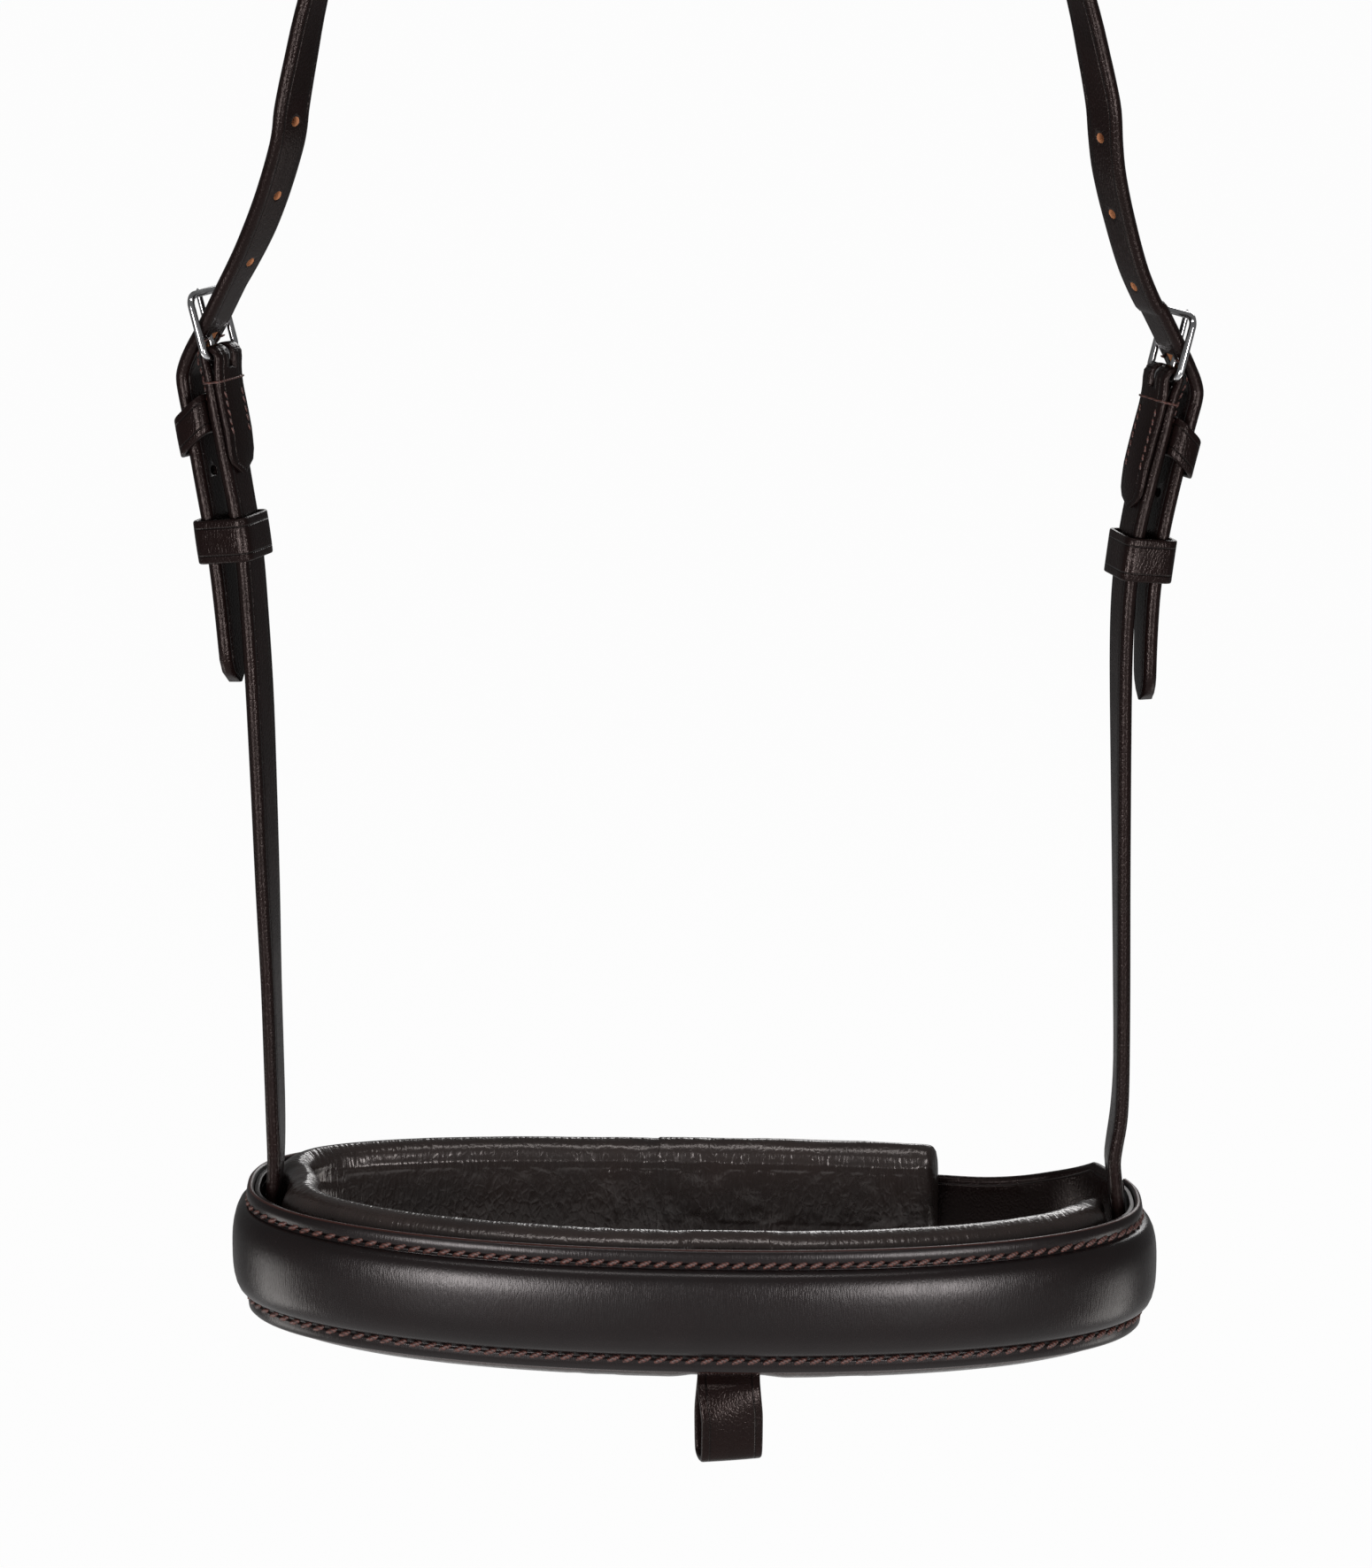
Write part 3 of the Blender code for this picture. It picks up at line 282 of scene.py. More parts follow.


# each hide's line colour is painted shade for the groove of its creased line
hides = {
    "strapHide": {
        "dark": (0.0036, 0.0019, 0.0018), "light": (0.0066, 0.0034, 0.0032), "line": (0.002, 0.0014, 0.0014),
        "cut": (0.010, 0.0042, 0.0035), "cutShare": 0.12, "roughness": (0.20, 0.31), "gloss": 0.15,
        "tint": (1.0, 0.84, 0.80), "pebbles": 1100, "patches": 70, "stretch": 0.6, "fine": 0.2,
        "grainDepth": 0.00003, "folds": 500, "foldDepth": 0.6, "inset": 0.0024, "lineWidth": 0.0004,
        "lineDepth": 0.00018,
    },
    "noseHide": {
        "dark": (0.0040, 0.0028, 0.0029), "light": (0.0070, 0.0049, 0.0050), "line": (0.0012, 0.0008, 0.0008),
        "cut": (0.052, 0.016, 0.012), "cutShare": 0.7, "roughness": (0.25, 0.32), "gloss": 0.28,
        "tint": (1.0, 0.96, 0.96), "pebbles": 1500, "patches": 60, "stretch": 0.16, "fine": 0.3,
        "grainDepth": 0.000012, "folds": 700, "foldDepth": 2.0, "inset": 0.0047, "lineWidth": 0.0011,
        "lineDepth": 0.0005,
    },
    "softHide": {
        "dark": (0.0110, 0.0080, 0.0073), "light": (0.0240, 0.0178, 0.0162), "line": (0.005, 0.004, 0.004),
        "cut": (0.0150, 0.0115, 0.0105), "cutShare": 0, "roughness": (0.21, 0.31), "gloss": 0.50,
        "tint": (1.0, 0.93, 0.91), "pebbles": 500, "patches": 60, "stretch": 0.6, "fine": 0,
        "grainDepth": 0.00003, "folds": 640, "foldDepth": 8, "inset": 1, "lineWidth": 0.0005, "lineDepth": 0,
    },
}


def makeThread():
    look = {
        "dark": (0.020, 0.0062, 0.0048), "light": (0.074, 0.0250, 0.0185), "roughness": 0.5,
        "twists": 400, "bump": 0.6, "depth": 0.00012,
    }
    made, tree, shader = newMaterial("waxedThread")
    wires = {"Vector": objectPlace(tree), "Scale": look["twists"], "Distortion": 1.0}
    twist = addNode(tree, "TexWave", wires, bands_direction="DIAGONAL").outputs["Fac"]
    tree.links.new(mixColour(tree, twist, look["dark"], look["light"]), shader.inputs["Base Color"])
    addBump(tree, shader, twist, look["bump"], look["depth"])
    shader.inputs["Roughness"].default_value = look["roughness"]
    return made


def makeSteel():
    look = {"dark": (0.38, 0.38, 0.39), "light": (0.56, 0.56, 0.57), "roughness": (0.10, 0.20), "patches": 500}
    made, tree, shader = newMaterial("polishedSteel")
    patches = noiseOn(tree, objectPlace(tree), look["patches"], 5)
    tree.links.new(mixColour(tree, patches, look["dark"], look["light"]), shader.inputs["Base Color"])
    tree.links.new(mapped(tree, patches, goes=look["roughness"]), shader.inputs["Roughness"])
    shader.inputs["Metallic"].default_value = 1
    return made


def makeFibre(name, dark, light, scale):
    # raw hide where a strap is cut through, and the filler
    look = {"bump": 0.6, "depth": 0.0002, "roughness": 0.85}
    made, tree, shader = newMaterial(name)
    fibres = noiseOn(tree, objectPlace(tree), scale, 6)
    tree.links.new(mixColour(tree, fibres, dark, light), shader.inputs["Base Color"])
    addBump(tree, shader, fibres, look["bump"], look["depth"])
    shader.inputs["Roughness"].default_value = look["roughness"]
    return made


finishes = {name: makeHide(name, look) for name, look in hides.items()}
finishes["thread"] = makeThread()
finishes["steel"] = makeSteel()
finishes["rawHide"] = makeFibre("rawHide", (0.16, 0.055, 0.02), (0.36, 0.15, 0.06), 1800)
finishes["filler"] = makeFibre("filler", (0.05, 0.035, 0.025), (0.13, 0.09, 0.06), 900)
print("finishes ready")


def clamp(value):
    return min(max(value, 0), 1)


def roundedRise(way):
    # climbs from 0 to 1 as a quarter of a circle does
    return math.sqrt(1 - (1 - min(way, 1)) ** 2)


def bell(away, spread):
    return math.exp(-((away / spread) ** 2))


def squared(width, travel):
    # the direction that is square to the travel and nearest to the width
    return (width - travel * width.dot(travel)).normalized()


def leftOf(travel):
    return Vector((-travel.y, travel.x))


def onCircle(centre, first, second, radius, angle):
    return centre + first * radius * math.cos(angle) + second * radius * math.sin(angle)


def smoothRoute(points, steps):
    # a smooth curve through points of two or three numbers
    points = [Vector(point) for point in points]
    ends = [points[0] * 2 - points[1]] + points + [points[-1] * 2 - points[-2]]
    route = []
    for before, start, stop, after in zip(ends, ends[1:], ends[2:], ends[3:]):
        for step in range(steps):
            way = step / steps
            curve = start * 2 + (stop - before) * way
            curve += (before * 2 - start * 5 + stop * 4 - after) * way**2
            curve += (start * 3 - before - stop * 3 + after) * way**3
            route.append(curve / 2)
    route.append(points[-1])
    return route


def directions(route, closed=False):
    count = len(route)
    found = []
    for place in range(count):
        if closed:
            ahead, behind = route[(place + 1) % count], route[place - 1]
        else:
            ahead, behind = route[min(place + 1, count - 1)], route[max(place - 1, 0)]
        found.append((ahead - behind).normalized())
    return found


def runLengths(line):
    lengths = [0.0]
    for near, far in zip(line, line[1:]):
        lengths.append(lengths[-1] + (far - near).length)
    return lengths


def stationLengths(stations):
    return runLengths([point for point, width, outward in stations])


def atLength(line, length):
    lengths = runLengths(line)
    for place in range(1, len(line)):
        if lengths[place] >= length:
            way = (length - lengths[place - 1]) / (lengths[place] - lengths[place - 1])
            return line[place - 1].lerp(line[place], way), (line[place] - line[place - 1]).normalized()
    return line[-1], (line[-1] - line[-2]).normalized()


def offsetLine(line, amounts):
    return [
        pair + leftOf(travel) * amount
        for pair, travel, amount in zip(line, directions(line), amounts)
    ]


def finishMesh(name, shape, finish, angle=50):
    bmesh.ops.recalc_face_normals(shape, faces=shape.faces)
    for face in shape.faces:
        face.smooth = True
    mesh = bpy.data.meshes.new(name)
    shape.to_mesh(mesh)
    shape.free()
    mesh.set_sharp_from_angle(angle=math.radians(angle))
    piece = bpy.data.objects.new(name, mesh)
    mesh.materials.append(finish)
    bpy.context.scene.collection.objects.link(piece)
    return piece


def carry(name, stations, section, finish, closed=False, angle=50, hold=None):
    # extrudes one face from station to station; a station is a point with its across and outward directions
    shape = bmesh.new()
    across = shape.verts.layers.float.new("across")
    halfWidth = shape.verts.layers.float.new("halfWidth")
    along = shape.verts.layers.float.new("along")
    lengths = stationLengths(stations)
    sewn = shape.verts.layers.float.new("sewn") if hold else None
    bmesh.ops.create_circle(shape, cap_ends=True, radius=1, segments=len(section(0)))
    shape.faces.ensure_lookup_table()
    face = shape.faces[0]
    places = list(range(len(stations))) + ([0] if closed else [])
    for count, place in enumerate(places):
        if count:
            made = bmesh.ops.extrude_face_region(shape, geom=[face])
            if count > 1 or closed:
                bmesh.ops.delete(shape, geom=[face], context="FACES_ONLY")
            face = next(item for item in made["geom"] if isinstance(item, bmesh.types.BMFace))
        point, width, outward = stations[place]
        outline = section(place)
        half = max(abs(a) for a, b in outline)
        for corner, (a, b) in zip(face.loops, outline):
            corner.vert.co = point + width * a + outward * b
            corner.vert[across] = a
            corner.vert[halfWidth] = half
            corner.vert[along] = lengths[place]
            if hold:
                corner.vert[sewn] = hold(place, a, b)
    if closed:
        bmesh.ops.delete(shape, geom=[face], context="FACES_ONLY")
        bmesh.ops.remove_doubles(shape, verts=shape.verts, dist=1e-7)
    return finishMesh(name, shape, finish, angle)


def stationsOn(route, across, side=1, closed=False):
    found = []
    for point, travel, width in zip(route, directions(route, closed), across):
        width = squared(width, travel)
        found.append((point, width, travel.cross(width) * side))
    return found


def strapSection(width, low, high, edge, crown=0.00012):
    # a strap's section with rounded long edges and faces that swell a little
    half = width / 2
    edge = min(edge, (high - low) * 0.48, half * 0.6)  # a rounding never takes up the whole side
    found = []
    corners = [(1, low + edge, 3), (1, high - edge, 0), (-1, high - edge, 1), (-1, low + edge, 2)]
    for side, level, quarter in corners:
        for step in range(4):
            turn = math.pi / 2 * (quarter + step / 3)
            found.append((side * (half - edge) + edge * math.cos(turn), level + edge * math.sin(turn)))
        if quarter == 0:
            found += [(share * (half - edge), high + crown * (1 - share * share)) for share in (0.5, 0, -0.5)]
        if quarter == 2:
            found += [(share * (half - edge), low) for share in (-0.5, 0, 0.5)]
    return found


def circleSection(radius, sides=14):
    turns = [math.tau * side / sides for side in range(sides)]
    return [(radius * math.cos(turn), radius * math.sin(turn)) for turn in turns]


def roundedRectangle(lowA, highA, lowB, highB, corner, steps):
    found = []
    centres = [(highA, highB, 0), (lowA, highB, 1), (lowA, lowB, 2), (highA, lowB, 3)]
    for edgeA, edgeB, quarter in centres:
        innerA = edgeA - math.copysign(corner, edgeA - (lowA + highA) / 2)
        innerB = edgeB - math.copysign(corner, edgeB - (lowB + highB) / 2)
        for step in range(steps + 1):
            turn = math.pi / 2 * (quarter + step / steps)
            found.append((innerA + corner * math.cos(turn), innerB + corner * math.sin(turn)))
    return found


def tipShares(route, length, power=2.2, least=0.12):
    # how wide a strap still is towards its rounded tip
    left = runLengths(route[::-1])[::-1]
    return [max(math.sqrt(1 - max(1 - way / length, 0) ** power), least) for way in left]


def boxCutter(name, centre, axes, lows, highs, finish):
    shape = bmesh.new()
    bmesh.ops.create_cube(shape, size=1)
    middle = sum((axis * ((low + high) / 2) for axis, low, high in zip(axes, lows, highs)), centre.copy())
    basis = Matrix([axis * (high - low) for axis, low, high in zip(axes, lows, highs)]).transposed()
    bmesh.ops.transform(shape, matrix=Matrix.Translation(middle) @ basis.to_4x4(), verts=shape.verts)
    return finishMesh(name, shape, finish)


def cutAway(piece, cutters):
    # takes the cutters out of the piece, whose cut walls get the cutter's own finish
    for cutter in cutters:
        boolean = piece.modifiers.new("cut", "BOOLEAN")
        boolean.object = cutter
        boolean.solver = "EXACT"
        boolean.material_mode = "TRANSFER"
    bpy.context.view_layer.update()
    cut = bpy.data.meshes.new_from_object(piece.evaluated_get(bpy.context.evaluated_depsgraph_get()))
    piece.modifiers.clear()
    piece.data = cut
    cut.name = piece.name
    for cutter in cutters:
        bpy.data.objects.remove(cutter, do_unlink=True)


def settle(piece, body, slot, *nodes):
    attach(piece, body)
    if nodes:
        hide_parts(*nodes)


def makeStrap(name, node, stations, section, cutters=(), finish="strapHide", angle=50):
    # a leather piece of the strapwork that stands for one node of the solids
    strap = carry(name, stations, section, finishes[finish], angle=angle)
    if cutters:
        cutAway(strap, cutters)
    settle(strap, "strapwork", "bridle_leather", node)


def carryRing(name, centre, axes, outline, section, finish):
    # one section carried round a closed outline, which lies on the first two axes
    first, second, across = axes
    route = [centre + first * a + second * b for a, b in outline]
    stations = stationsOn(route, [across] * len(route), closed=True)
    return carry(name, stations, lambda place: section, finish, closed=True)


def stitchRow(name, spots, look):
    # spots are points on the leather with the row's direction and the leather's outward direction
    shape = bmesh.new()
    turn = math.radians(look["slant"])
    lying = Matrix.Rotation(math.pi / 2, 4, "Y")
    for point, travel, outward in spots:
        side = outward.cross(travel)
        length = (travel * math.cos(turn) + side * math.sin(turn)) * look["length"] / 2
        breadth = (side * math.cos(turn) - travel * math.sin(turn)) * look["thick"] / 2
        basis = Matrix([length, breadth, outward * look["thick"] / 2]).transposed().to_4x4()
        middle = Matrix.Translation(point + outward * look["thick"] * look["proud"])
        place = middle @ basis @ lying
        bmesh.ops.create_uvsphere(shape, u_segments=6, v_segments=5, radius=1, matrix=place)
    settle(finishMesh(name, shape, finishes["thread"], 80), "strapwork", "thread")


def spotsAlong(stations, a, b, pitch, start, stop):
    # evenly spaced spots on a carried strap: a across it and b out from its route
    line = [point + width * a + outward * b for point, width, outward in stations]
    lengths = runLengths(line)
    travels = directions(line)
    found = []
    place = 0
    count = int((stop - start) / pitch)
    for step in range(count + 1):
        wanted = start + pitch * step
        while place < len(line) - 2 and lengths[place + 1] < wanted:
            place += 1
        way = (wanted - lengths[place]) / max(lengths[place + 1] - lengths[place], 1e-9)
        found.append((line[place].lerp(line[place + 1], way), travels[place], stations[place][2]))
    return found


# the straps that hang at each cheek; shares run down the strap, and out from the lower end towards the heel bar
cheeks = {
    "left": {
        "sign": -1,
        "heelOut": 0.1391,
        "heelDrop": 0.2048,
        "entryOut": 0.1240,
        "standoff": 0.0055,
        "tipStandoff": 0.0038,
        "hangerShares": [
            (0.037, 0.918), (0.103, 0.717), (0.176, 0.503), (0.233, 0.365), (0.307, 0.277),
            (0.43, 0.182), (0.65, 0.088), (0.873, 0.013), (1.0, 0.0),
        ],
        "headShares": [
            (0.949, 0.864), (0.913, 0.813), (0.881, 0.757), (0.848, 0.684), (0.837, 0.636), (0.816, 0.562),
            (0.769, 0.43), (0.676, 0.293), (0.532, 0.166), (0.33, 0.062), (0.19, 0.012),
        ],
        "turns": [
            (0.0, 0), (0.12, 12), (0.27, 42), (0.345, 40), (0.385, 30), (0.47, 30), (0.52, 25), (0.65, 24),
            (0.76, 18), (0.816, 12), (0.875, 10.5), (0.914, 9), (0.97, 0),
        ],
    },
    "right": {
        "sign": 1,
        "heelOut": 0.1376,
        "heelDrop": 0.2108,
        "entryOut": 0.1238,
        "standoff": 0.0038,
        "tipStandoff": 0.0034,
        "hangerShares": [
            (0.038, 0.84), (0.10, 0.56), (0.16, 0.32), (0.215, 0.15), (0.27, 0.05), (0.34, 0.015),
            (0.436, 0.03), (0.641, 0.094), (0.871, 0.16), (0.95, 0.10), (1.0, 0.0),
        ],
        "headShares": [
            (0.967, 0.899), (0.931, 0.847), (0.899, 0.778), (0.870, 0.697), (0.858, 0.618), (0.836, 0.545),
            (0.785, 0.417), (0.687, 0.285), (0.538, 0.161), (0.334, 0.061), (0.19, 0.011),
        ],
        "turns": [
            (0.0, 0), (0.12, 12), (0.27, 42), (0.34, 33), (0.395, 28), (0.48, 27), (0.53, 21), (0.62, 14.5),
            (0.76, 6.5), (0.875, 3), (0.914, 6), (0.97, 0),
        ],
    },
}
clearance = {"gap": 0.0003, "seam": 0.0004, "slide": 0.0006, "runner": 0.0009, "slot": 0.0006, "seat": 0.0010}
noseband = {
    "halfWidth": 0.135, "frontDepth": 0.059, "backDepth": 0.050, "frontPower": 2.15, "backPower": 3.0,
    "drop": 0.479, "height": 0.038, "thick": 0.002, "bulgeHeight": 0.0266, "bulgeDepth": 0.0047,
    "bulgeFade": 0.022, "bulgePower": 2.6, "backing": 0.0016, "backingInset": 0.001,
    "backEnd": 0.075, "sideEnd": 0.020, "entryDrop": 0.450, "endDrop": 0.487, "step": 0.0025,
    "tilt": 1.06, "tiltCentre": 0.027, "edge": 0.35, "flange": 0.0042, "ridge": (0.0028, 0.0002),
    "leastBulge": 0.05, "backingEdge": 0.0004,
}
backingDepth = noseband["thick"] + clearance["gap"] + noseband["backing"]  # from the outer face to behind it
lining = {
    "height": 0.0453, "rise": 0.001, "thick": 0.010, "frontSlack": 0.004, "sideSlack": 0.009, "sideEnd": 0.014,
    "seamOut": 0.0103, "roll": 0.0058, "channel": 0.0148, "channelDepth": 0.0038, "sewnDepth": 0.45,
    "endChannel": 0.009, "wrinkle": 0.00013, "clear": 0.0007, "lowReach": 0.0021, "lap": 0.0022,
    "corner": 0.0035, "topSink": 0.0008, "frontSink": 0.0018, "sinkReach": 0.030,
}
jaw = {
    "drop": 0.473, "strapDrop": 0.478, "padHeight": 0.036, "backHeight": 0.027, "padEnd": 0.076,
    "rootWidth": 0.042, "rootFull": 0.020, "rootLength": 0.065, "billetLength": 0.072, "heelOut": 0.008,
    "passLift": 0.0004, "start": 0.0088, "channel": 0.0098,
    "seamShares": [
        (0.12, 0.78), (0.24, 0.68), (0.37, 0.60), (0.51, 0.52), (0.66, 0.50), (0.80, 0.08), (1.0, 0.0),
    ],
}
cheekSizes = {
    "width": 0.013, "thick": 0.004, "tail": 0.0022, "tailLength": 0.043, "wire": 0.0011, "frameLength": 0.0191,
    "keeper": 0.0015, "fixedPlace": 0.0190, "fixedHeight": 0.0115, "fixedSlope": 30, "runnerPlace": 0.054,
    "runnerHeight": 0.013, "runnerSlope": 0, "fold": 0.002, "swell": 3.5, "billetLength": 0.0985, "tip": 0.009,
    "passDepth": 0.0098, "lean": 16.4, "pivotOut": 0.128, "crownFlat": 0.030, "holeRadius": 0.0015,
    "holePitch": 0.0234, "tongue": 0.0009, "tongueGap": 0.00025, "frameCorner": 0.0032, "frameGap": 0.0007,
    "edge": 0.0019, "crown": 0.0003, "tailTip": 0.0065,
}
jawSizes = dict(
    cheekSizes, width=0.0195, thick=0.003, tail=0.002, tailLength=0.030, wire=0.0013, frameLength=0.021,
    keeper=0.0012, fixedPlace=0.0145, fixedHeight=0.010, runnerPlace=0.046, runnerHeight=0.010, lean=6,
    standoff=0.0024, tipStandoff=0.0024, fixedSlope=0,
)


def turnAt(cheek, drop):
    share, table = drop / noseband["drop"], cheek["turns"]
    for (near, nearTurn), (far, farTurn) in zip(table, table[1:]):
        if share <= far:
            return math.radians(nearTurn + (farTurn - nearTurn) * max(share - near, 0) / (far - near))
    return 0.0


def sidePair(cheek, out, drop):
    pivot = cheekSizes["pivotOut"]
    return Vector((pivot + (out - pivot) / math.cos(turnAt(cheek, drop)), -drop))


def cheekGroup(name):
    # a group lays out one buckle in the flat plane of its straps
    cheek, pivot = cheeks[name], cheekSizes["pivotOut"]
    sign = cheek["sign"]

    def place(pair):
        reach, turn = pair[0] - pivot, turnAt(cheek, -pair[1])
        return Vector((sign * (pivot + reach * math.cos(turn)), reach * math.sin(turn), pair[1]))

    def across(pair):
        turn = turnAt(cheek, -pair[1])
        return Vector((-sign * math.sin(turn), math.cos(turn), 0))

    lean = math.radians(cheekSizes["lean"])
    return dict(
        cheekSizes,
        name=name, place=place, across=across, side=sign, turn=1, standoff=cheek["standoff"],
        tipStandoff=cheek["tipStandoff"], heel=sidePair(cheek, cheek["heelOut"], cheek["heelDrop"]),
        up=Vector((math.sin(lean), math.cos(lean))), out=Vector((math.cos(lean), -math.sin(lean))),
    )


def groupAxes(group):
    origin = group["place"](group["heel"])
    up = (group["place"](group["heel"] + group["up"] * group["frameLength"]) - origin).normalized()
    width = squared(group["across"](group["heel"]), up)
    return origin, width, up, up.cross(width) * -group["side"]


def groupRoute(group, pairs, finer):
    points = smoothRoute([group["place"](pair) for pair in pairs], finer)
    across = smoothRoute([group["across"](pair) for pair in pairs], finer)
    return points, across


def foldedStrap(group, seam, name, node):
    # a strap that turns round the heel bar, its thinned tail stitched down inside
    look = {
        "finer": 3, "mouth": 4.5, "arcSteps": 8, "tailThin": 0.35, "tailGrow": 3, "leastTip": 0.2,
        "slotTop": 0.002, "fromTurn": 0.009, "fromTail": 0.003, "fromTip": 3.2,
    }
    rows = {"pitch": 0.0027, "length": 0.0024, "thick": 0.0008, "slant": 16, "proud": 0.05, "inset": 0.0022}
    turn, seamHalf, finer = group["turn"], clearance["seam"] / 2, look["finer"]
    bar = group["wire"] + clearance["gap"]
    lengths = runLengths(seam)
    mouth = bar * look["mouth"]
    opening = [seamHalf + (bar - seamHalf) * max(1 - length / mouth, 0) for length in lengths]
    outer = offsetLine(seam, [turn * amount for amount in opening])[1:]
    inner = offsetLine(seam, [-turn * amount for amount in opening])[1:]
    tail = [pair for pair, length in zip(inner, lengths[1:]) if length <= group["tailLength"]]
    back = (seam[0] - seam[1]).normalized()
    away = leftOf(back) * -turn
    angles = [math.pi * (1 - step / look["arcSteps"]) for step in range(look["arcSteps"] + 1)]
    arc = [onCircle(seam[0], away, back, bar, angle) for angle in angles]
    points, across = groupRoute(group, tail[::-1] + arc + outer, finer)
    along = runLengths(points)
    start, stop = along[len(tail) * finer], along[(len(tail) + len(arc) - 1) * finer]

    def thickness(place):
        if along[place] < start:
            grown = min(along[place] / (group["thick"] * look["tailGrow"]), 1)
            return group["tail"] * (look["tailThin"] + (1 - look["tailThin"]) * grown)
        share = clamp((along[place] - stop) / (group["thick"] * group["swell"]))
        return group["fold"] + (group["thick"] - group["fold"]) * share

    def section(place):
        width = group["width"] * max(roundedRise(along[place] / group["tailTip"]), look["leastTip"])
        return strapSection(width, 0, thickness(place), group["edge"], group["crown"])

    origin, width, up, out = groupAxes(group)
    half = group["tongue"] + clearance["slot"] / 2
    ring = group["wire"] + group["tongueGap"] + group["tongue"] * 2 + clearance["slot"]
    lows, highs = (-half, -ring, -ring), (half, bar + group["fold"] + look["slotTop"], ring)
    slot = boxCutter("slot", origin, (width, up, out), lows, highs, finishes["strapHide"])
    stations = stationsOn(points, across, group["side"])
    makeStrap(name, node, stations, section, [slot])
    inset = group["width"] / 2 - rows["inset"]
    first, last = stop + look["fromTurn"], stop + group["tailLength"] - look["fromTail"]
    front = (group["thick"], rows["pitch"], first, last)
    behind = (group["tail"], rows["pitch"], group["thick"] * look["fromTip"], start - look["fromTurn"])
    spots = []
    for side in (-inset, inset):
        spots += spotsAlong(stations, side, *front) + spotsAlong(stations, side, *behind)
    stitchRow(name + "_stitches", spots, rows)


def threadWrap(group, seam):
    # the tight ring of thread round both layers, under the buckle's turn
    wrap = {"place": 0.0072, "thick": 0.0007, "sunk": 0.2, "corner": 0.5, "sides": 8}
    pair, travel = atLength(seam, wrap["place"])
    centre, width = group["place"](pair), group["across"](pair)
    out = squared(group["place"](pair + leftOf(travel) * group["turn"] * group["thick"]) - centre, width)
    share = min(wrap["place"] / (group["thick"] * group["swell"]), 1)
    proud = wrap["thick"] * (0.5 - wrap["sunk"])
    high = clearance["seam"] / 2 + group["fold"] + (group["thick"] - group["fold"]) * share + proud
    low = -clearance["seam"] / 2 - group["tail"] - proud
    reach = group["width"] / 2 + proud
    outline = roundedRectangle(low, high, -reach, reach, group["tail"] * wrap["corner"], 5)
    ring = circleSection(wrap["thick"] / 2, wrap["sides"])
    axes = (out, width, width.cross(out))
    wire = carryRing(group["name"] + "_thread_wrap", centre, axes, outline, ring, finishes["thread"])
    settle(wire, "strapwork", "thread")


def buckle(group):
    # a wire frame, and a tongue whose ring goes round the frame's heel bar
    look = {"ringStart": -240, "ringStep": 10, "ringSteps": 25, "pastBar": 1.4, "tip": 1.5, "sides": 12}
    name = group["name"]
    origin, width, up, out = groupAxes(group)
    reach = group["width"] / 2 + group["frameGap"] + group["wire"]
    outline = roundedRectangle(0, group["frameLength"], -reach, reach, group["frameCorner"], 8)
    ring = circleSection(group["wire"])
    wire = carryRing(name + "_buckle_wire", origin, (up, width, out), outline, ring, finishes["steel"])
    settle(wire, name + "_frame", "steel", name + "_buckle_frame")
    radius = group["wire"] + group["tongueGap"] + group["tongue"]
    angles = [math.radians(look["ringStart"] + look["ringStep"] * step) for step in range(look["ringSteps"])]
    route = [onCircle(origin, out, up, radius, angle) for angle in angles]
    length = group["frameLength"] + group["wire"] * look["pastBar"]
    route += [origin + out * radius + up * length * share for share in (0.3, 0.5, 0.7, 0.9, 0.96, 1.0)]
    shares = tipShares(route, group["tongue"] * look["tip"])

    def section(place):
        return circleSection(group["tongue"] * shares[place], look["sides"])

    tongue = carry(name + "_tongue_wire", stationsOn(route, [width] * len(route)), section, finishes["steel"])
    settle(tongue, name + "_tongue", "steel", name + "_tongue")


def keeper(group, seam, kind, depths, loopName, body):
    # a flat leather loop round the straps, sheared where they lean; its kind is fixed or runner
    look = {"corner": 1.6, "step": 0.0022, "edge": 0.4, "crown": 0.0001}
    thick, height = group["keeper"], group[kind + "Height"]
    pair, travel = atLength(seam, group[kind + "Place"])
    centre = group["place"](pair)
    along = (group["place"](pair + travel * height) - centre).normalized()
    width = squared(group["across"](pair), along)
    out = along.cross(width) * group["side"]
    reach = group["width"] / 2 + clearance["slide"] + thick / 2
    low, high = depths[0] - thick / 2, depths[1] + thick / 2
    outline = roundedRectangle(low, high, -reach, reach, thick * look["corner"], 5)
    finer = []
    for (a, b), (c, d) in zip(outline, outline[1:] + outline[:1]):
        count = max(int(math.hypot(c - a, d - b) / look["step"]), 1)
        finer += [(a + (c - a) * step / count, b + (d - b) * step / count) for step in range(count)]
    section = strapSection(height, -thick / 2, thick / 2, thick * look["edge"], look["crown"])
    axes, hide = (out, width, along), finishes["strapHide"]
    loop = carryRing(group["name"] + loopName, centre, axes, finer, section, hide)
    middle, slope = (depths[0] + depths[1]) / 2, math.tan(math.radians(group[kind + "Slope"]))
    for vertex in loop.data.vertices:
        vertex.co += along * slope * ((vertex.co - centre).dot(out) - middle)
    settle(loop, body, "bridle_leather", group["name"] + "_" + kind + "_keeper")


def makeFastening(group, seam, strapName, node):
    foldedStrap(group, seam, strapName, node)
    threadWrap(group, seam)
    buckle(group)
    half, thick = clearance["seam"] / 2, group["thick"]
    high = half + thick * 2 + group["standoff"] + clearance["runner"]
    low = half + thick + clearance["gap"] + group["keeper"]
    keeper(group, seam, "fixed", (low, high), "_sewn_loop", "strapwork")
    low = half - clearance["runner"]
    keeper(group, seam, "runner", (low, high), "_runner_loop", group["name"] + "_runner")


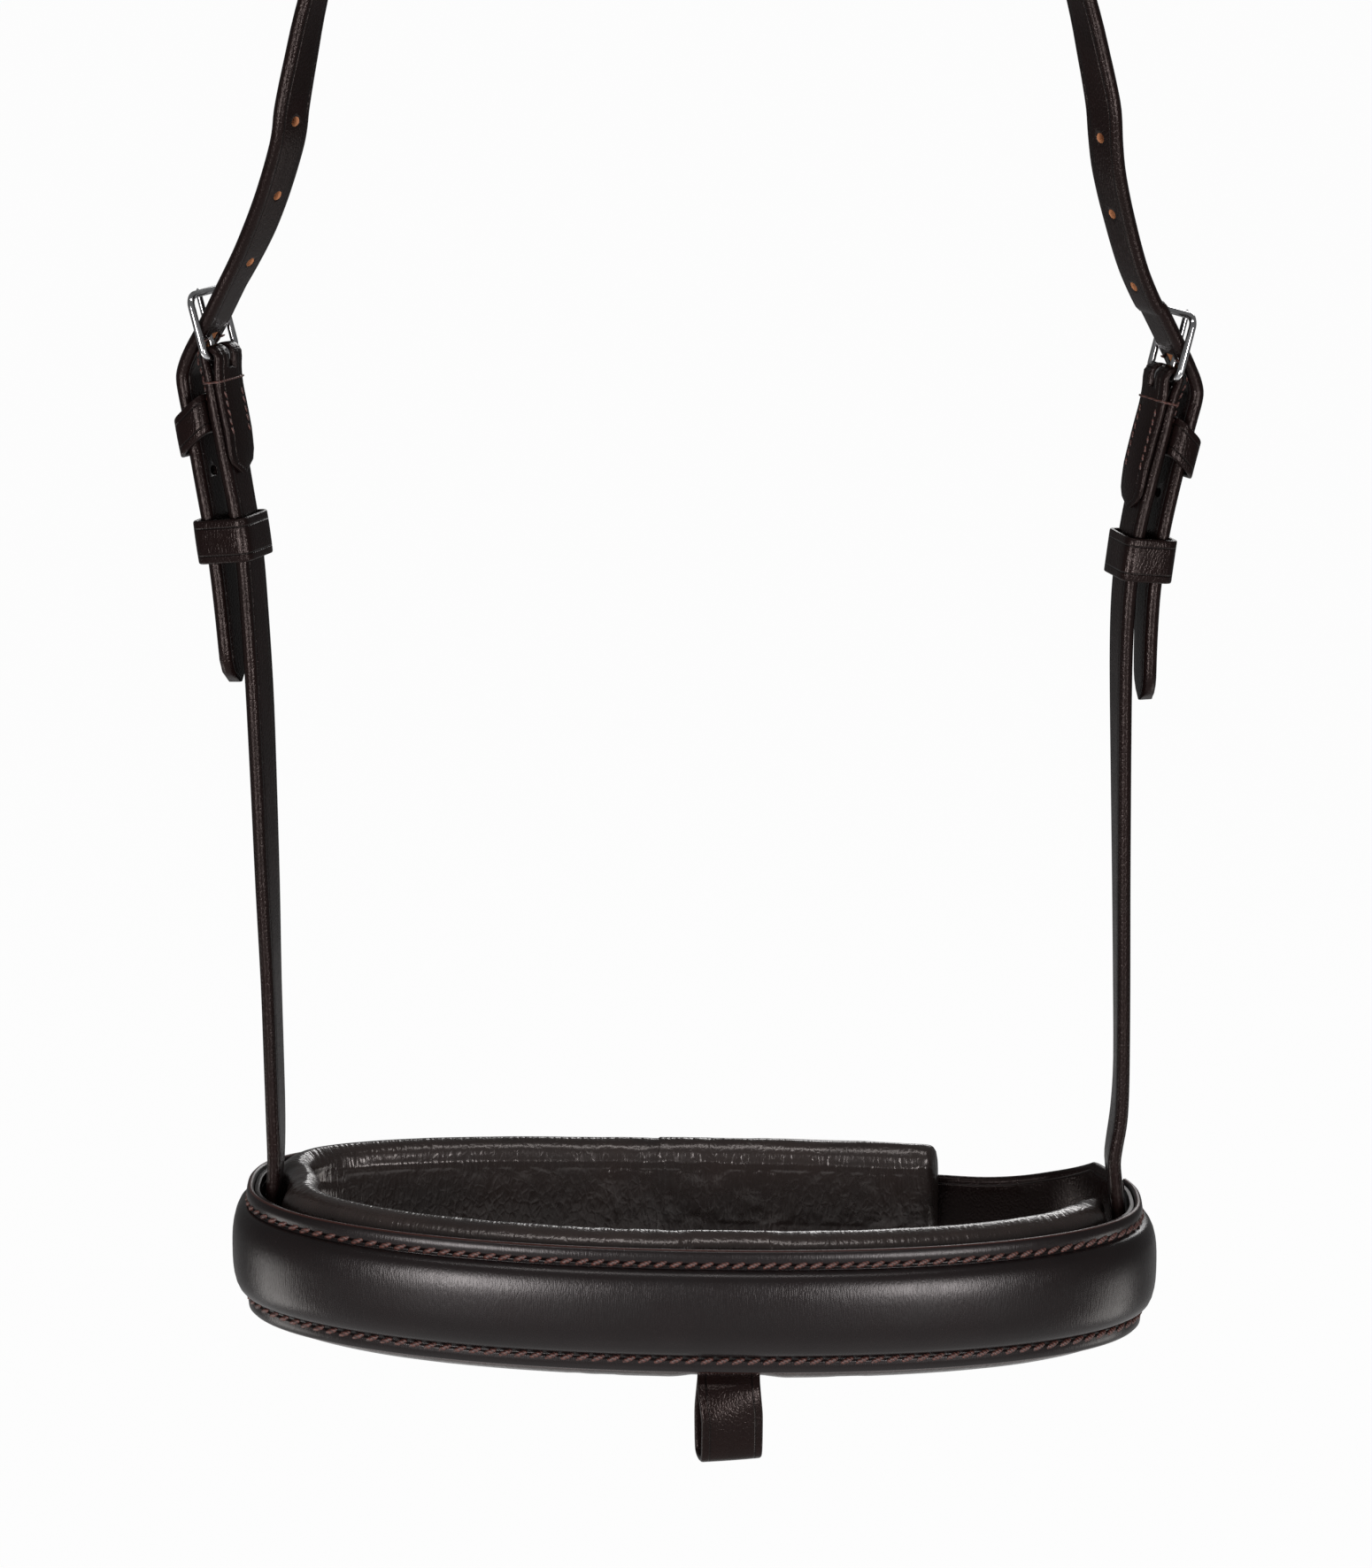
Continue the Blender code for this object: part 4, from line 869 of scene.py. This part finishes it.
def hangerSeam(name):
    cheek = cheeks[name]
    points = [sidePair(cheek, cheek["heelOut"], cheek["heelDrop"])]
    lean = cheek["heelOut"] - cheek["entryOut"]
    fall = noseband["entryDrop"] - cheek["heelDrop"]
    for down, share in cheek["hangerShares"]:
        points.append(sidePair(cheek, cheek["entryOut"] + lean * share, cheek["heelDrop"] + fall * down))
    seat = noseband["halfWidth"] - backingDepth - clearance["seat"]
    seat -= cheekSizes["thick"] + clearance["seam"] / 2
    points.append(sidePair(cheek, seat, (noseband["entryDrop"] + noseband["endDrop"]) / 2))
    points.append(sidePair(cheek, seat, noseband["endDrop"]))
    return smoothRoute(points, 2)


def billetLine(group, seam, length, passDepth, lead):
    # the lead-in, the crossing through the frame, and the run outside the folded strap
    look = {"bulgeOut": 0.97, "bulgeDown": 0.1, "shoulder": 0.55, "shoulderUp": 0.2, "runStart": 0.45}
    turn, thick, reach = group["turn"], group["thick"], group["frameLength"]
    heel, up = group["heel"], group["up"]
    offset = clearance["seam"] / 2 + thick * 1.5 + group["standoff"]
    passing = heel + up * reach - group["out"] * passDepth
    crossing = heel + up * reach / 2
    bulge = heel + group["out"] * offset * look["bulgeOut"] - up * reach * look["bulgeDown"]
    shoulder = crossing.lerp(bulge, look["shoulder"]) + up * thick * look["shoulderUp"]
    lengths = runLengths(seam)
    ease, below = group["standoff"] - group["tipStandoff"], group["runnerPlace"]
    eased = [ease * clamp((way - below) / (length - below)) for way in lengths]
    outside = offsetLine(seam, [turn * (offset - amount) for amount in eased])
    start, stop = reach * look["runStart"], length - thick
    run = [pair for pair, way in zip(outside, lengths) if start < way < stop][::2]
    end, travel = atLength(seam, length)
    run.append(end + leftOf(travel) * turn * (offset - ease))
    return smoothRoute(lead + [passing, crossing, shoulder, bulge] + run, 2)


def tonguePath(group):
    look = {"under": 2.4, "over": 3.4}  # how far the path reaches, in tongue radii
    origin, width, up, out = groupAxes(group)
    half = group["tongue"] + clearance["slot"]
    middle = group["wire"] + group["tongueGap"] + group["tongue"]
    low, high = middle - group["tongue"] * look["under"], middle + group["tongue"] * look["over"]
    lows, highs = (-half, -high, low), (half, group["frameLength"] - group["wire"], high)
    return boxCutter("tonguePath", origin, (width, up, out), lows, highs, finishes["rawHide"])


def punches(points, across, crossing, pitches, finish):
    # one cutter for holes of a billet, at even pitches from where the tongue passes
    shape = bmesh.new()
    size = cheekSizes
    nearest = min(range(len(points)), key=lambda place: (points[place] - crossing).length)
    lengths, travels = runLengths(points), directions(points)
    for pitch in pitches:
        wanted = lengths[nearest] + pitch * size["holePitch"]
        place = min(range(len(points)), key=lambda spot: abs(lengths[spot] - wanted))
        travel = travels[place]
        width = squared(across[place], travel)
        basis = Matrix([travel, width, travel.cross(width)]).transposed().to_4x4()
        centre = Matrix.Translation(points[place] + travel * (wanted - lengths[place]))
        bmesh.ops.create_cone(
            shape, cap_ends=True, segments=20, radius1=size["holeRadius"], radius2=size["holeRadius"],
            depth=size["thick"] * 2, matrix=centre @ basis,
        )
    return finishMesh("punches", shape, finish)


def makeHeadstrap(groups, seams):
    # one strap over the poll, made as two halves that meet in the middle of its crown
    halves, cutters = [], []
    size = cheekSizes
    half, flat = size["thick"] / 2, size["crownFlat"] / 2
    for name, group in groups.items():
        out, drop = cheeks[name]["heelOut"], cheeks[name]["heelDrop"]
        lead = [Vector((0, half)), Vector((flat / 2, half)), Vector((flat, half))]
        shares = reversed(cheeks[name]["headShares"])
        lead += [sidePair(cheeks[name], out * far, drop * down) for far, down in shares]
        line = billetLine(group, seams[name], size["billetLength"], size["passDepth"], lead)
        points, across = groupRoute(group, line, 3)
        crossing = group["place"](group["heel"] + group["up"] * group["frameLength"] / 2)
        cutters.append(punches(points, across, crossing, (-3, -2, -1), finishes["rawHide"]))
        cutters += [punches(points, across, crossing, (2, 3), finishes["strapHide"]), tonguePath(group)]
        halves.append((points, across, tipShares(points, size["tip"])))
    route, across, shares = (left[::-1] + right[1:] for left, right in zip(*halves))

    def section(place):
        return strapSection(size["width"] * shares[place], -half, half, size["edge"], size["crown"])

    makeStrap("headstrap_leather", "headstrap", stationsOn(route, across), section, cutters)


def planCurve():
    size, samples = noseband, 960
    raw = []
    for step in range(samples + 1):
        turn = math.tau * step / samples - math.pi / 2
        end = "front" if math.sin(turn) < 0 else "back"
        power, depth = size[end + "Power"], size[end + "Depth"]
        x = math.copysign(abs(math.cos(turn)) ** (2 / power), math.cos(turn)) * size["halfWidth"]
        y = math.copysign(abs(math.sin(turn)) ** (2 / power), math.sin(turn)) * depth
        raw.append(Vector((x, y)))
    lengths = runLengths(raw)
    even, place = [], 1
    for step in range(samples):
        wanted = lengths[-1] * step / samples
        while lengths[place] < wanted:
            place += 1
        way = (wanted - lengths[place - 1]) / max(lengths[place] - lengths[place - 1], 1e-12)
        even.append(raw[place - 1].lerp(raw[place], way))
    return even


plan = planCurve()
planLength = runLengths(plan)[-1]


def onPlan(share, out=0.0):
    count = len(plan)
    spot = (share % 1) * count
    low, reach = int(spot) % count, count // 120
    point = plan[low].lerp(plan[(low + 1) % count], spot - int(spot))
    travel = (plan[(low + 1 + reach) % count] - plan[low - reach]).normalized()
    normal = Vector((travel.y, -travel.x))
    return point + normal * out, normal


def shareAt(value, axis):
    # the place on the plan nearest to an x at its back (axis 0) or to a y at its right side (axis 1)
    places = [place for place, point in enumerate(plan) if point[1 - axis] > 0]
    return min(places, key=lambda place: abs(plan[place][axis] - value)) / len(plan)


def shareAtX(x):
    # the same at the back, between the plan's points
    count = len(plan)
    place = round(shareAt(x, 0) * count)
    near, far = plan[place - 1].x, plan[place + 1].x
    return (place - 1 + 2 * (x - near) / (far - near)) / count


def slackAt(point):
    # how far the lining stands off the backing
    if point.y < 0:
        depth, least, power = noseband["frontDepth"], lining["frontSlack"], 1
    else:
        depth, least, power = noseband["backDepth"], clearance["gap"], 1.5
    return least + (lining["sideSlack"] - least) * max(1 - abs(point.y) / depth, 0) ** power


def tiltAt(x):
    # how much higher the tilted noseband stands at this place across it
    return (noseband["tiltCentre"] - x) * math.tan(math.radians(noseband["tilt"]))


def tiltedUp():
    tilt = math.radians(noseband["tilt"])
    return Vector((math.sin(tilt), 0, math.cos(tilt)))


def bandStations(start, stop, drop, slack=False, finer=1):
    # stations round the noseband, with the height as their across direction
    count = int((stop - start) * planLength / noseband["step"] * finer)
    found = []
    for step in range(count + 1):
        point, normal = onPlan(start + (stop - start) * step / count)
        centre = point - normal * (backingDepth + slackAt(point) if slack else 0)
        centre = Vector((centre.x, centre.y, tiltAt(point.x) - drop))
        found.append((centre, Vector((0, 0, 1)), Vector((normal.x, normal.y, 0))))
    return found


def outerSection(fade):
    # flat flanges with a raised middle, and a hollow behind it for the filler
    size = noseband
    half, thick, bulge = size["height"] / 2, size["thick"], size["bulgeHeight"] / 2
    edge, (ridge, proud) = thick * size["edge"], size["ridge"]
    shares = [-1, -0.985, -0.95, -0.88, -0.75, -0.58, -0.38, -0.18, 0.02]
    shares += [0.22, 0.42, 0.6, 0.76, 0.89, 0.955, 0.987, 1]

    def swell(share):
        return size["bulgeDepth"] * fade * (1 - abs(share) ** size["bulgePower"]) ** (1 / size["bulgePower"])

    face = [(share * bulge, swell(share)) for share in shares]
    hollow = [(share * (bulge - thick), swell(share) - thick) for share in reversed(shares)]
    flange = [(half - size["flange"], 0), (half - ridge, proud), (half - edge, 0)]
    flange += [(half, -edge), (half, edge - thick)]
    lowFlange = [(-a, b) for a, b in reversed(flange)]
    return lowFlange + face + flange + [(half - edge, -thick)] + hollow + [(edge - half, -thick)]


def makeNosebandOuter():
    rows = {
        "pitch": 0.0046, "length": 0.0046, "thick": 0.0018, "slant": 24, "proud": -0.05,
        "fromTop": 0.0044, "fromFoot": 0.0040, "endRoom": 0.006,
    }
    size = noseband
    left, right = shareAt(-size["backEnd"], 0) - 1, shareAt(size["sideEnd"], 1)
    stations = bandStations(left, right, size["drop"])
    last = len(stations) - 1

    def section(place):
        # the raised middle fades out towards both ends
        reach = (right - left) * planLength * min(place, last - place) / last
        fade = math.sin(math.pi / 2 * min(reach / size["bulgeFade"], 1))
        return outerSection(max(fade, size["leastBulge"]))

    makeStrap("noseband_face", "noseband_outer", stations, section, finish="noseHide", angle=60)
    half, start = size["height"] / 2, rows["endRoom"]
    length = stationLengths(stations)[-1]
    for name, level in {"upper": half - rows["fromTop"], "lower": rows["fromFoot"] - half}.items():
        spots = spotsAlong(stations, level, 0, rows["pitch"], start, length - start)
        stitchRow("noseband_" + name + "_stitches", spots, rows)


def flatBand(name, start, stop, height, drop, node):
    high = noseband["backing"] - backingDepth
    section = strapSection(height, -backingDepth, high, noseband["backingEdge"], 0)
    makeStrap(name, node, bandStations(start, stop, drop), lambda place: section)


padForm = {
    "strapReach": 0.0095, "strapRoom": 0.0068, "tabCentre": 0.010, "tabReach": 0.011, "ease": 0.006,
    "lean": 0.72, "leanChange": 0.28, "beside": 0.62, "outsideRise": 0.0042, "insideRise": 0.0065,
    "nearChannel": 0.0047, "seamSpread": 0.0010, "least": 0.0004, "rollPoints": 7, "backPoints": 12,
    "thinEnd": 0.45, "endSpread": 0.0015, "lapSpread": 0.0016, "lapDepth": 1.6, "finer": 1.5,
    "backHeld": -0.002, "endHeld": 0.002, "channelHeld": 0.0014,
}
pads = {
    "noseband_pad": {
        "height": lining["height"], "channel": lining["channel"], "drop": noseband["drop"] - lining["rise"],
        "low": lining["lowReach"], "taper": 0.045, "endFall": 0.0065,  # its top sinks to the jaw strap's root
        "endSewn": False, "openAt": "stop", "seed": 3, "nodes": ["noseband_lining", "noseband_foam"],
    },
    "jaw_pad": {
        "height": jaw["padHeight"], "channel": jaw["channel"], "drop": jaw["drop"], "low": 0, "taper": 0.004,
        "endFall": 0, "endSewn": True, "openAt": "start", "seed": 11,
        "nodes": ["jaw_pad_lining", "jaw_pad_foam"],
    },
}


def padRoom(point):
    # how far the pad fills out towards the backing, clear of the hangers, the jaw strap and the flash tabs
    form, slack, atFront = padForm, slackAt(point), point.y < 0
    full = max(slack - lining["clear"], 0)
    fromStrap = abs(point.y) if point.x < 0 or atFront else 0
    nearStrap = 1 - clamp((fromStrap - form["strapReach"]) / form["ease"])
    fromTab = abs(point.x - form["tabCentre"]) - form["tabReach"]
    nearTab = 1 - clamp(fromTab / form["ease"]) if atFront else 0
    full -= (full - max(slack - form["strapRoom"], 0)) * nearStrap
    return full * (1 - nearTab)


def padSection(look, out, puff, across):
    # rolled top and bottom, a sewn channel near each, and a crowned middle; b is 0 at the pad's back
    form = padForm
    half, roll, channel = look["height"] / 2, lining["roll"], look["channel"]
    thick, near = lining["thick"] * puff, form["nearChannel"]

    def middleAt(a):
        # the pad leans out more at its lower edge than at its top
        return (out * (form["lean"] - form["leanChange"] * (a / half)) - thick) / 2

    def rim(level):
        return math.sqrt(max(1 - (max(abs(level) - (half - roll), 0) / roll) ** 2, 0))

    turns = [math.pi / 2 * (1 - step / form["rollPoints"]) for step in range(form["rollPoints"])]
    levels = [half - roll + roll * math.sin(turn) for turn in turns]
    levels = [level for level in levels if level > channel + near]
    steps = (0.0045, 0.0030, 0.0020, 0.0013, 0.0007, 0.0003, 0)
    levels += [channel + step for step in steps] + [channel - step for step in steps[-2::-1]]
    levels += [(channel - near) * share for share in (0.92, 0.75, 0.55, 0.36, 0.18, 0)]
    found = []
    for a in levels + [-level for level in levels[-2::-1]]:
        middle, level = middleAt(a), abs(a)
        outside = level > channel
        sewn = bell(level - channel, form["seamSpread"])
        sewn = max(sewn, across) if level < channel else sewn
        # the leather rises in a curve from each channel
        way = abs(level - channel) / form["outsideRise" if outside else "insideRise"]
        rise = form["beside"] + (1 - form["beside"]) * roundedRise(way)
        depth = (middle + thick) * rim(a) * rise - sewn * lining["channelDepth"] * lining["sewnDepth"] * puff
        found.append((a, middle - max(depth, 0 if level > half - roll else form["least"] - middle)))
    for step in range(1, form["backPoints"]):
        a = -half * math.cos(math.pi * step / form["backPoints"])
        found.append((a, middleAt(a) + (middleAt(a) + thick) * rim(a)))
    return found


def swellPad(pad):
    # the leather is sewn down along its channels and filled between them, so it puffs and gathers
    look = {"frames": 12, "limit": 0.00018}
    settings = {
        "vertex_group_mass": "sewn", "quality": 5, "mass": 0.2, "tension_stiffness": 12,
        "compression_stiffness": 12, "shear_stiffness": 4, "bending_stiffness": 0.05, "use_pressure": True,
        "uniform_pressure_force": 1.5, "shrink_min": -0.008,
    }
    group = pad.vertex_groups.new(name="sewn")
    before = [vertex.co.copy() for vertex in pad.data.vertices]
    for place, item in enumerate(pad.data.attributes["sewn"].data):
        group.add([place], item.value, "REPLACE")
    cloth = pad.modifiers.new("fill", "CLOTH")
    for label, value in settings.items():
        setattr(cloth.settings, label, value)
    cloth.settings.effector_weights.gravity = 0
    cloth.collision_settings.use_collision = False
    cloth.point_cache.frame_start = 1
    cloth.point_cache.frame_end = look["frames"]
    scene = bpy.context.scene
    for step in range(1, look["frames"] + 1):
        scene.frame_set(step)
    filled = bpy.data.meshes.new_from_object(pad.evaluated_get(bpy.context.evaluated_depsgraph_get()))
    after = [vertex.co.copy() for vertex in filled.vertices]
    pad.modifiers.clear()
    moves = [(there - here).length * 1000 for here, there in zip(before, after)]
    print("pad filled, moved up to", round(max(moves), 2), "mm, mean", round(sum(moves) / len(moves), 2), "mm")
    for vertex, here, there in zip(pad.data.vertices, before, after):
        move = there - here
        vertex.co = here + move * min(look["limit"] / max(move.length, 1e-9), 1)
    bpy.data.meshes.remove(filled)
    scene.frame_set(1)


def gatherPad(pad, seed):
    # slow unevenness along the pad, and soft gathers across it; the angle is taken on the plan's rounder oval
    look = {"oval": 2.2, "fine": (50, 30), "slow": (9, 25), "fineShare": 0.7}
    for vertex in pad.data.vertices:
        spot = vertex.co.copy()
        oval = Vector((spot.x, spot.y * look["oval"], 0))
        angle = math.atan2(oval.y, oval.x)
        fine, slow = (
            noise.noise(Vector((angle * look[kind][0], spot.z * look[kind][1], start)))
            for kind, start in (("fine", seed), ("slow", seed + 7))
        )
        vertex.co = spot - oval.normalized() * (fine * look["fineShare"] + slow) * lining["wrinkle"]


def makePad(name, start, stop):
    look, form = pads[name], padForm
    stations = bandStations(start, stop, look["drop"], slack=True, finer=form["finer"])
    length, last, half = (stop - start) * planLength, len(stations) - 1, look["height"] / 2
    plans = [onPlan(start + (stop - start) * step / last)[0] for step in range(last + 1)]

    def fromFree(place):
        # how far a station is from the pad's free end; the other end is the seam between the pads
        way = length * place / last
        return length - way if look["openAt"] == "stop" else way

    def section(place):
        free = fromFree(place)
        puff = form["thinEnd"] + (1 - form["thinEnd"]) * roundedRise(free / look["taper"])
        across = bell(free - lining["endChannel"], form["endSpread"]) if look["endSewn"] else 0
        across = max(across, form["lapDepth"] * bell(length - free - lining["lap"], form["lapSpread"]))
        short = lining["corner"] * (1 - roundedRise(free / lining["corner"]))
        fall = look["endFall"] * max(1 - free / look["taper"], 0) ** 1.5
        share = clamp((lining["sinkReach"] - plans[place].y) / (lining["sinkReach"] * 2))
        fall += lining["topSink"] + lining["frontSink"] * share
        found = []
        for a, b in padSection(look, padRoom(plans[place]), puff, across):
            drawn = short + (fall if a > 0 else 0)
            found.append((a * (1 - drawn / half) - look["low"] * max(-a / half, 0), b))
        return found

    def hold(place, a, b):
        # 1 where the leather is sewn or glued down, 0 where the filling lifts it
        level, sewn = abs(a), place < 2 or place > last - 2 or b > form["backHeld"]
        if look["endSewn"] and level < look["channel"]:
            sewn = sewn or abs(fromFree(place) - lining["endChannel"]) < form["endHeld"]
        return float(sewn or abs(level - look["channel"]) < form["channelHeld"])

    pad = carry(name, stations, section, finishes["softHide"], angle=80, hold=hold)
    swellPad(pad)
    gatherPad(pad, look["seed"])
    finer = pad.modifiers.new("finer", "SUBSURF")
    finer.levels = finer.render_levels = 1
    settle(pad, "strapwork", "lining_leather", *look["nodes"])
    return stations


def padStitches(name, stations, level, look):
    # a row in each long channel, and short rows across where the leather is sewn through
    depth = lining["channelDepth"] * lining["sewnDepth"] - lining["thick"] * look["sunk"]
    stop = stationLengths(stations)[-1] * look["reach"] - look["endRoom"]
    spots = []
    for side in (level, -level):
        found = spotsAlong(stations, side, depth, look["pitch"], look["startRoom"], stop)
        spots += [(point, travel, -outward) for point, travel, outward in found]
    for place in look["columns"]:
        point, width, outward = stations[place]
        count = int(level * 2 / look["pitch"])
        for step in range(1, count):
            a = level - level * 2 * step / count
            spots.append((point + width * a + outward * (depth * look["columnDepth"]), -width, -outward))
    stitchRow(name, spots, look)


def makeLining():
    # both pads and the flat straps behind them; the pads are butted tight at their seam
    rows = {
        "pitch": 0.0046, "length": 0.0038, "thick": 0.0013, "slant": 16, "proud": 0.3, "sunk": 0.81,
        "columnDepth": 1.02, "startRoom": 0.004, "endRoom": 0.046, "reach": 0.985, "columns": [],
    }
    size = noseband
    seam, back = shareAt(-lining["seamOut"], 0), shareAt(jaw["padEnd"], 0)
    gap, lap = clearance["gap"] / 2 / planLength, lining["lap"] / planLength
    corner = lining["corner"] / planLength
    height, right = size["height"] - size["backingInset"] * 2, shareAt(size["sideEnd"], 1)
    flatBand("noseband_back_strap", seam - 1 + gap, right, height, size["drop"], "noseband_backing")
    stations = makePad("noseband_pad", seam - 1 - lap, shareAt(lining["sideEnd"], 1))
    padStitches("noseband_pad_stitches", stations, lining["channel"], rows)
    stations = makePad("jaw_pad", back, seam + lap)
    columns = [round(lining["endChannel"] / size["step"] * padForm["finer"]), len(stations) - 2]
    padStitches("jaw_pad_stitches", stations, jaw["channel"], dict(rows, columns=columns, endRoom=0))
    flatBand("jaw_pad_back_strap", back + corner, seam - gap, jaw["backHeight"], jaw["drop"], "jaw_pad_backing")


def jawGroup():
    def place(pair):
        point, normal = onPlan(shareAtX(pair[0]), pair[1])
        return Vector((point.x, point.y, tiltAt(point.x) - jaw["strapDrop"]))

    def across(pair):
        return tiltedUp()

    stand = jawSizes["wire"] + clearance["gap"] * 2 + jawSizes["fold"] - noseband["thick"]
    lean = math.radians(jawSizes["lean"])
    return dict(
        jawSizes,
        name="jaw", place=place, across=across, side=1, turn=-1, heel=Vector((jaw["heelOut"], stand)),
        up=Vector((math.cos(lean), math.sin(lean))), out=Vector((-math.sin(lean), math.cos(lean))),
    )


def jawSeam(group):
    seat, heel = -noseband["thick"], group["heel"]
    rise, length = heel.y - seat, heel.x + noseband["backEnd"] - clearance["gap"]
    length -= group["width"] * math.tan(math.radians(noseband["tilt"]))
    points = [Vector((heel.x - length * along, seat + rise * stand)) for along, stand in jaw["seamShares"]]
    return smoothRoute([heel] + points, 2)


def makeJawBillet(group, seam):
    # sewn flat to the noseband's right end at a broad root, then out through the jaw buckle
    look = {"leadShares": (3.0, 2.4, 1.8), "easeReach": 0.6, "steps": 8}
    thick, heel = group["thick"], group["heel"]
    seat = -backingDepth - clearance["seat"] - thick / 2
    start, leave = shareAt(jaw["start"], 1), shareAt(noseband["sideEnd"], 1)
    passing = -noseband["thick"] + thick / 2 + jaw["passLift"]
    far = heel.x + group["frameLength"]
    lead = [Vector((far * share, passing)) for share in look["leadShares"]]
    depth = (heel + group["up"] * group["frameLength"]).y - passing
    flat = billetLine(group, seam, jaw["billetLength"], depth, lead)
    middle = []
    turnIn = shareAtX(lead[0].x)
    for step in range(look["steps"]):
        share = start + (turnIn - start) * step / look["steps"]
        way = clamp((share - leave) / ((turnIn - leave) * look["easeReach"]))
        point, normal = onPlan(share, seat + (passing - seat) * (3 * way**2 - 2 * way**3))
        middle.append(Vector((point.x, point.y, tiltAt(point.x) - jaw["strapDrop"])))
    route = smoothRoute(middle + [group["place"](flat[0])], 2)[:-1] + [group["place"](pair) for pair in flat]
    route = smoothRoute(route, 3)
    shares, lengths = tipShares(route, group["tip"]), runLengths(route)

    def section(place):
        flare = (lengths[place] - jaw["rootFull"]) / (jaw["rootLength"] - jaw["rootFull"])
        flare = (1 - clamp(flare)) ** 2
        width = (group["width"] + (jaw["rootWidth"] - group["width"]) * flare) * shares[place]
        return strapSection(width, -thick / 2, thick / 2, group["edge"])

    stations = stationsOn(route, [tiltedUp()] * len(route))
    makeStrap("jaw_billet", "jaw_billet_strap", stations, section, [tonguePath(group)])


def makeFlashLoop():
    look = {
        "centre": 0.010, "width": 0.0185, "thick": 0.0019, "tab": 0.0012, "hang": 0.02535, "depth": 0.0098,
        "tabHeight": 0.012, "tabShares": (1, 0.5, 0.1), "turn": 12, "turnReach": 2.2, "thinReach": 1.5,
        "edge": 0.4, "crown": 0.0001,
        "outline": [
            (-0.72, 0.86), (-1, 0.62), (-1, 0.3), (-0.85, 0.06), (-0.4, 0),
            (0.4, 0), (0.85, 0.06), (1, 0.3), (1, 0.62), (0.72, 0.86),
        ],
    }
    thick, tab = look["thick"], look["tab"]
    behind = backingDepth - noseband["frontDepth"]
    clear = (lining["frontSlack"] - tab * 2) / 3
    front, back = behind + clear + tab / 2, behind + clear * 2 + tab * 1.5
    edge = tiltAt(look["centre"]) - noseband["drop"] + lining["rise"] - lining["height"] / 2
    low = edge - look["hang"] + thick / 2
    middle, half, height = (front + back) / 2, look["depth"] / 2, edge - low
    line = [(front, edge + look["tabHeight"] * share) for share in look["tabShares"]]
    line += [(middle + half * out, low + height * up) for out, up in look["outline"]]
    line += [(back, edge + look["tabHeight"] * share) for share in reversed(look["tabShares"])]
    route = smoothRoute(smoothRoute([Vector((look["centre"], *pair)) for pair in line], 2), 3)
    # the loop hangs turned a little to one side
    centre, widths = Vector((look["centre"], middle, 0)), []
    for place, point in enumerate(route):
        share = clamp((edge - point.z) / height * look["turnReach"])
        turned = Matrix.Rotation(math.radians(look["turn"]) * share, 3, "Z")
        route[place] = turned @ (point - centre) + centre
        widths.append(turned @ Vector((1, 0, 0)))
    thinning = thick * look["thinReach"]

    def section(place):
        depth = thick + (tab - thick) * clamp((route[place].z - edge + thinning) / thinning)
        return strapSection(look["width"], -depth / 2, depth / 2, depth * look["edge"], look["crown"])

    makeStrap("flash_strap_loop", "flash_loop", stationsOn(route, widths), section)


groups = {name: cheekGroup(name) for name in cheeks}
seams = {name: hangerSeam(name) for name in cheeks}
makeHeadstrap(groups, seams)
print("head strap made")
for name, group in groups.items():
    makeFastening(group, seams[name], name + "_hanger_strap", name + "_hanger")
print("cheek straps made")
makeNosebandOuter()
makeLining()
print("noseband made")
jawLayout = jawGroup()
jawLine = jawSeam(jawLayout)
makeFastening(jawLayout, jawLine, "jaw_chape", "jaw_chape_strap")
makeJawBillet(jawLayout, jawLine)
makeFlashLoop()
print("jaw straps and flash loop made")

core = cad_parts["noseband_core"]
core.data.materials.clear()
core.data.materials.append(finishes["filler"])

print("all pieces made")
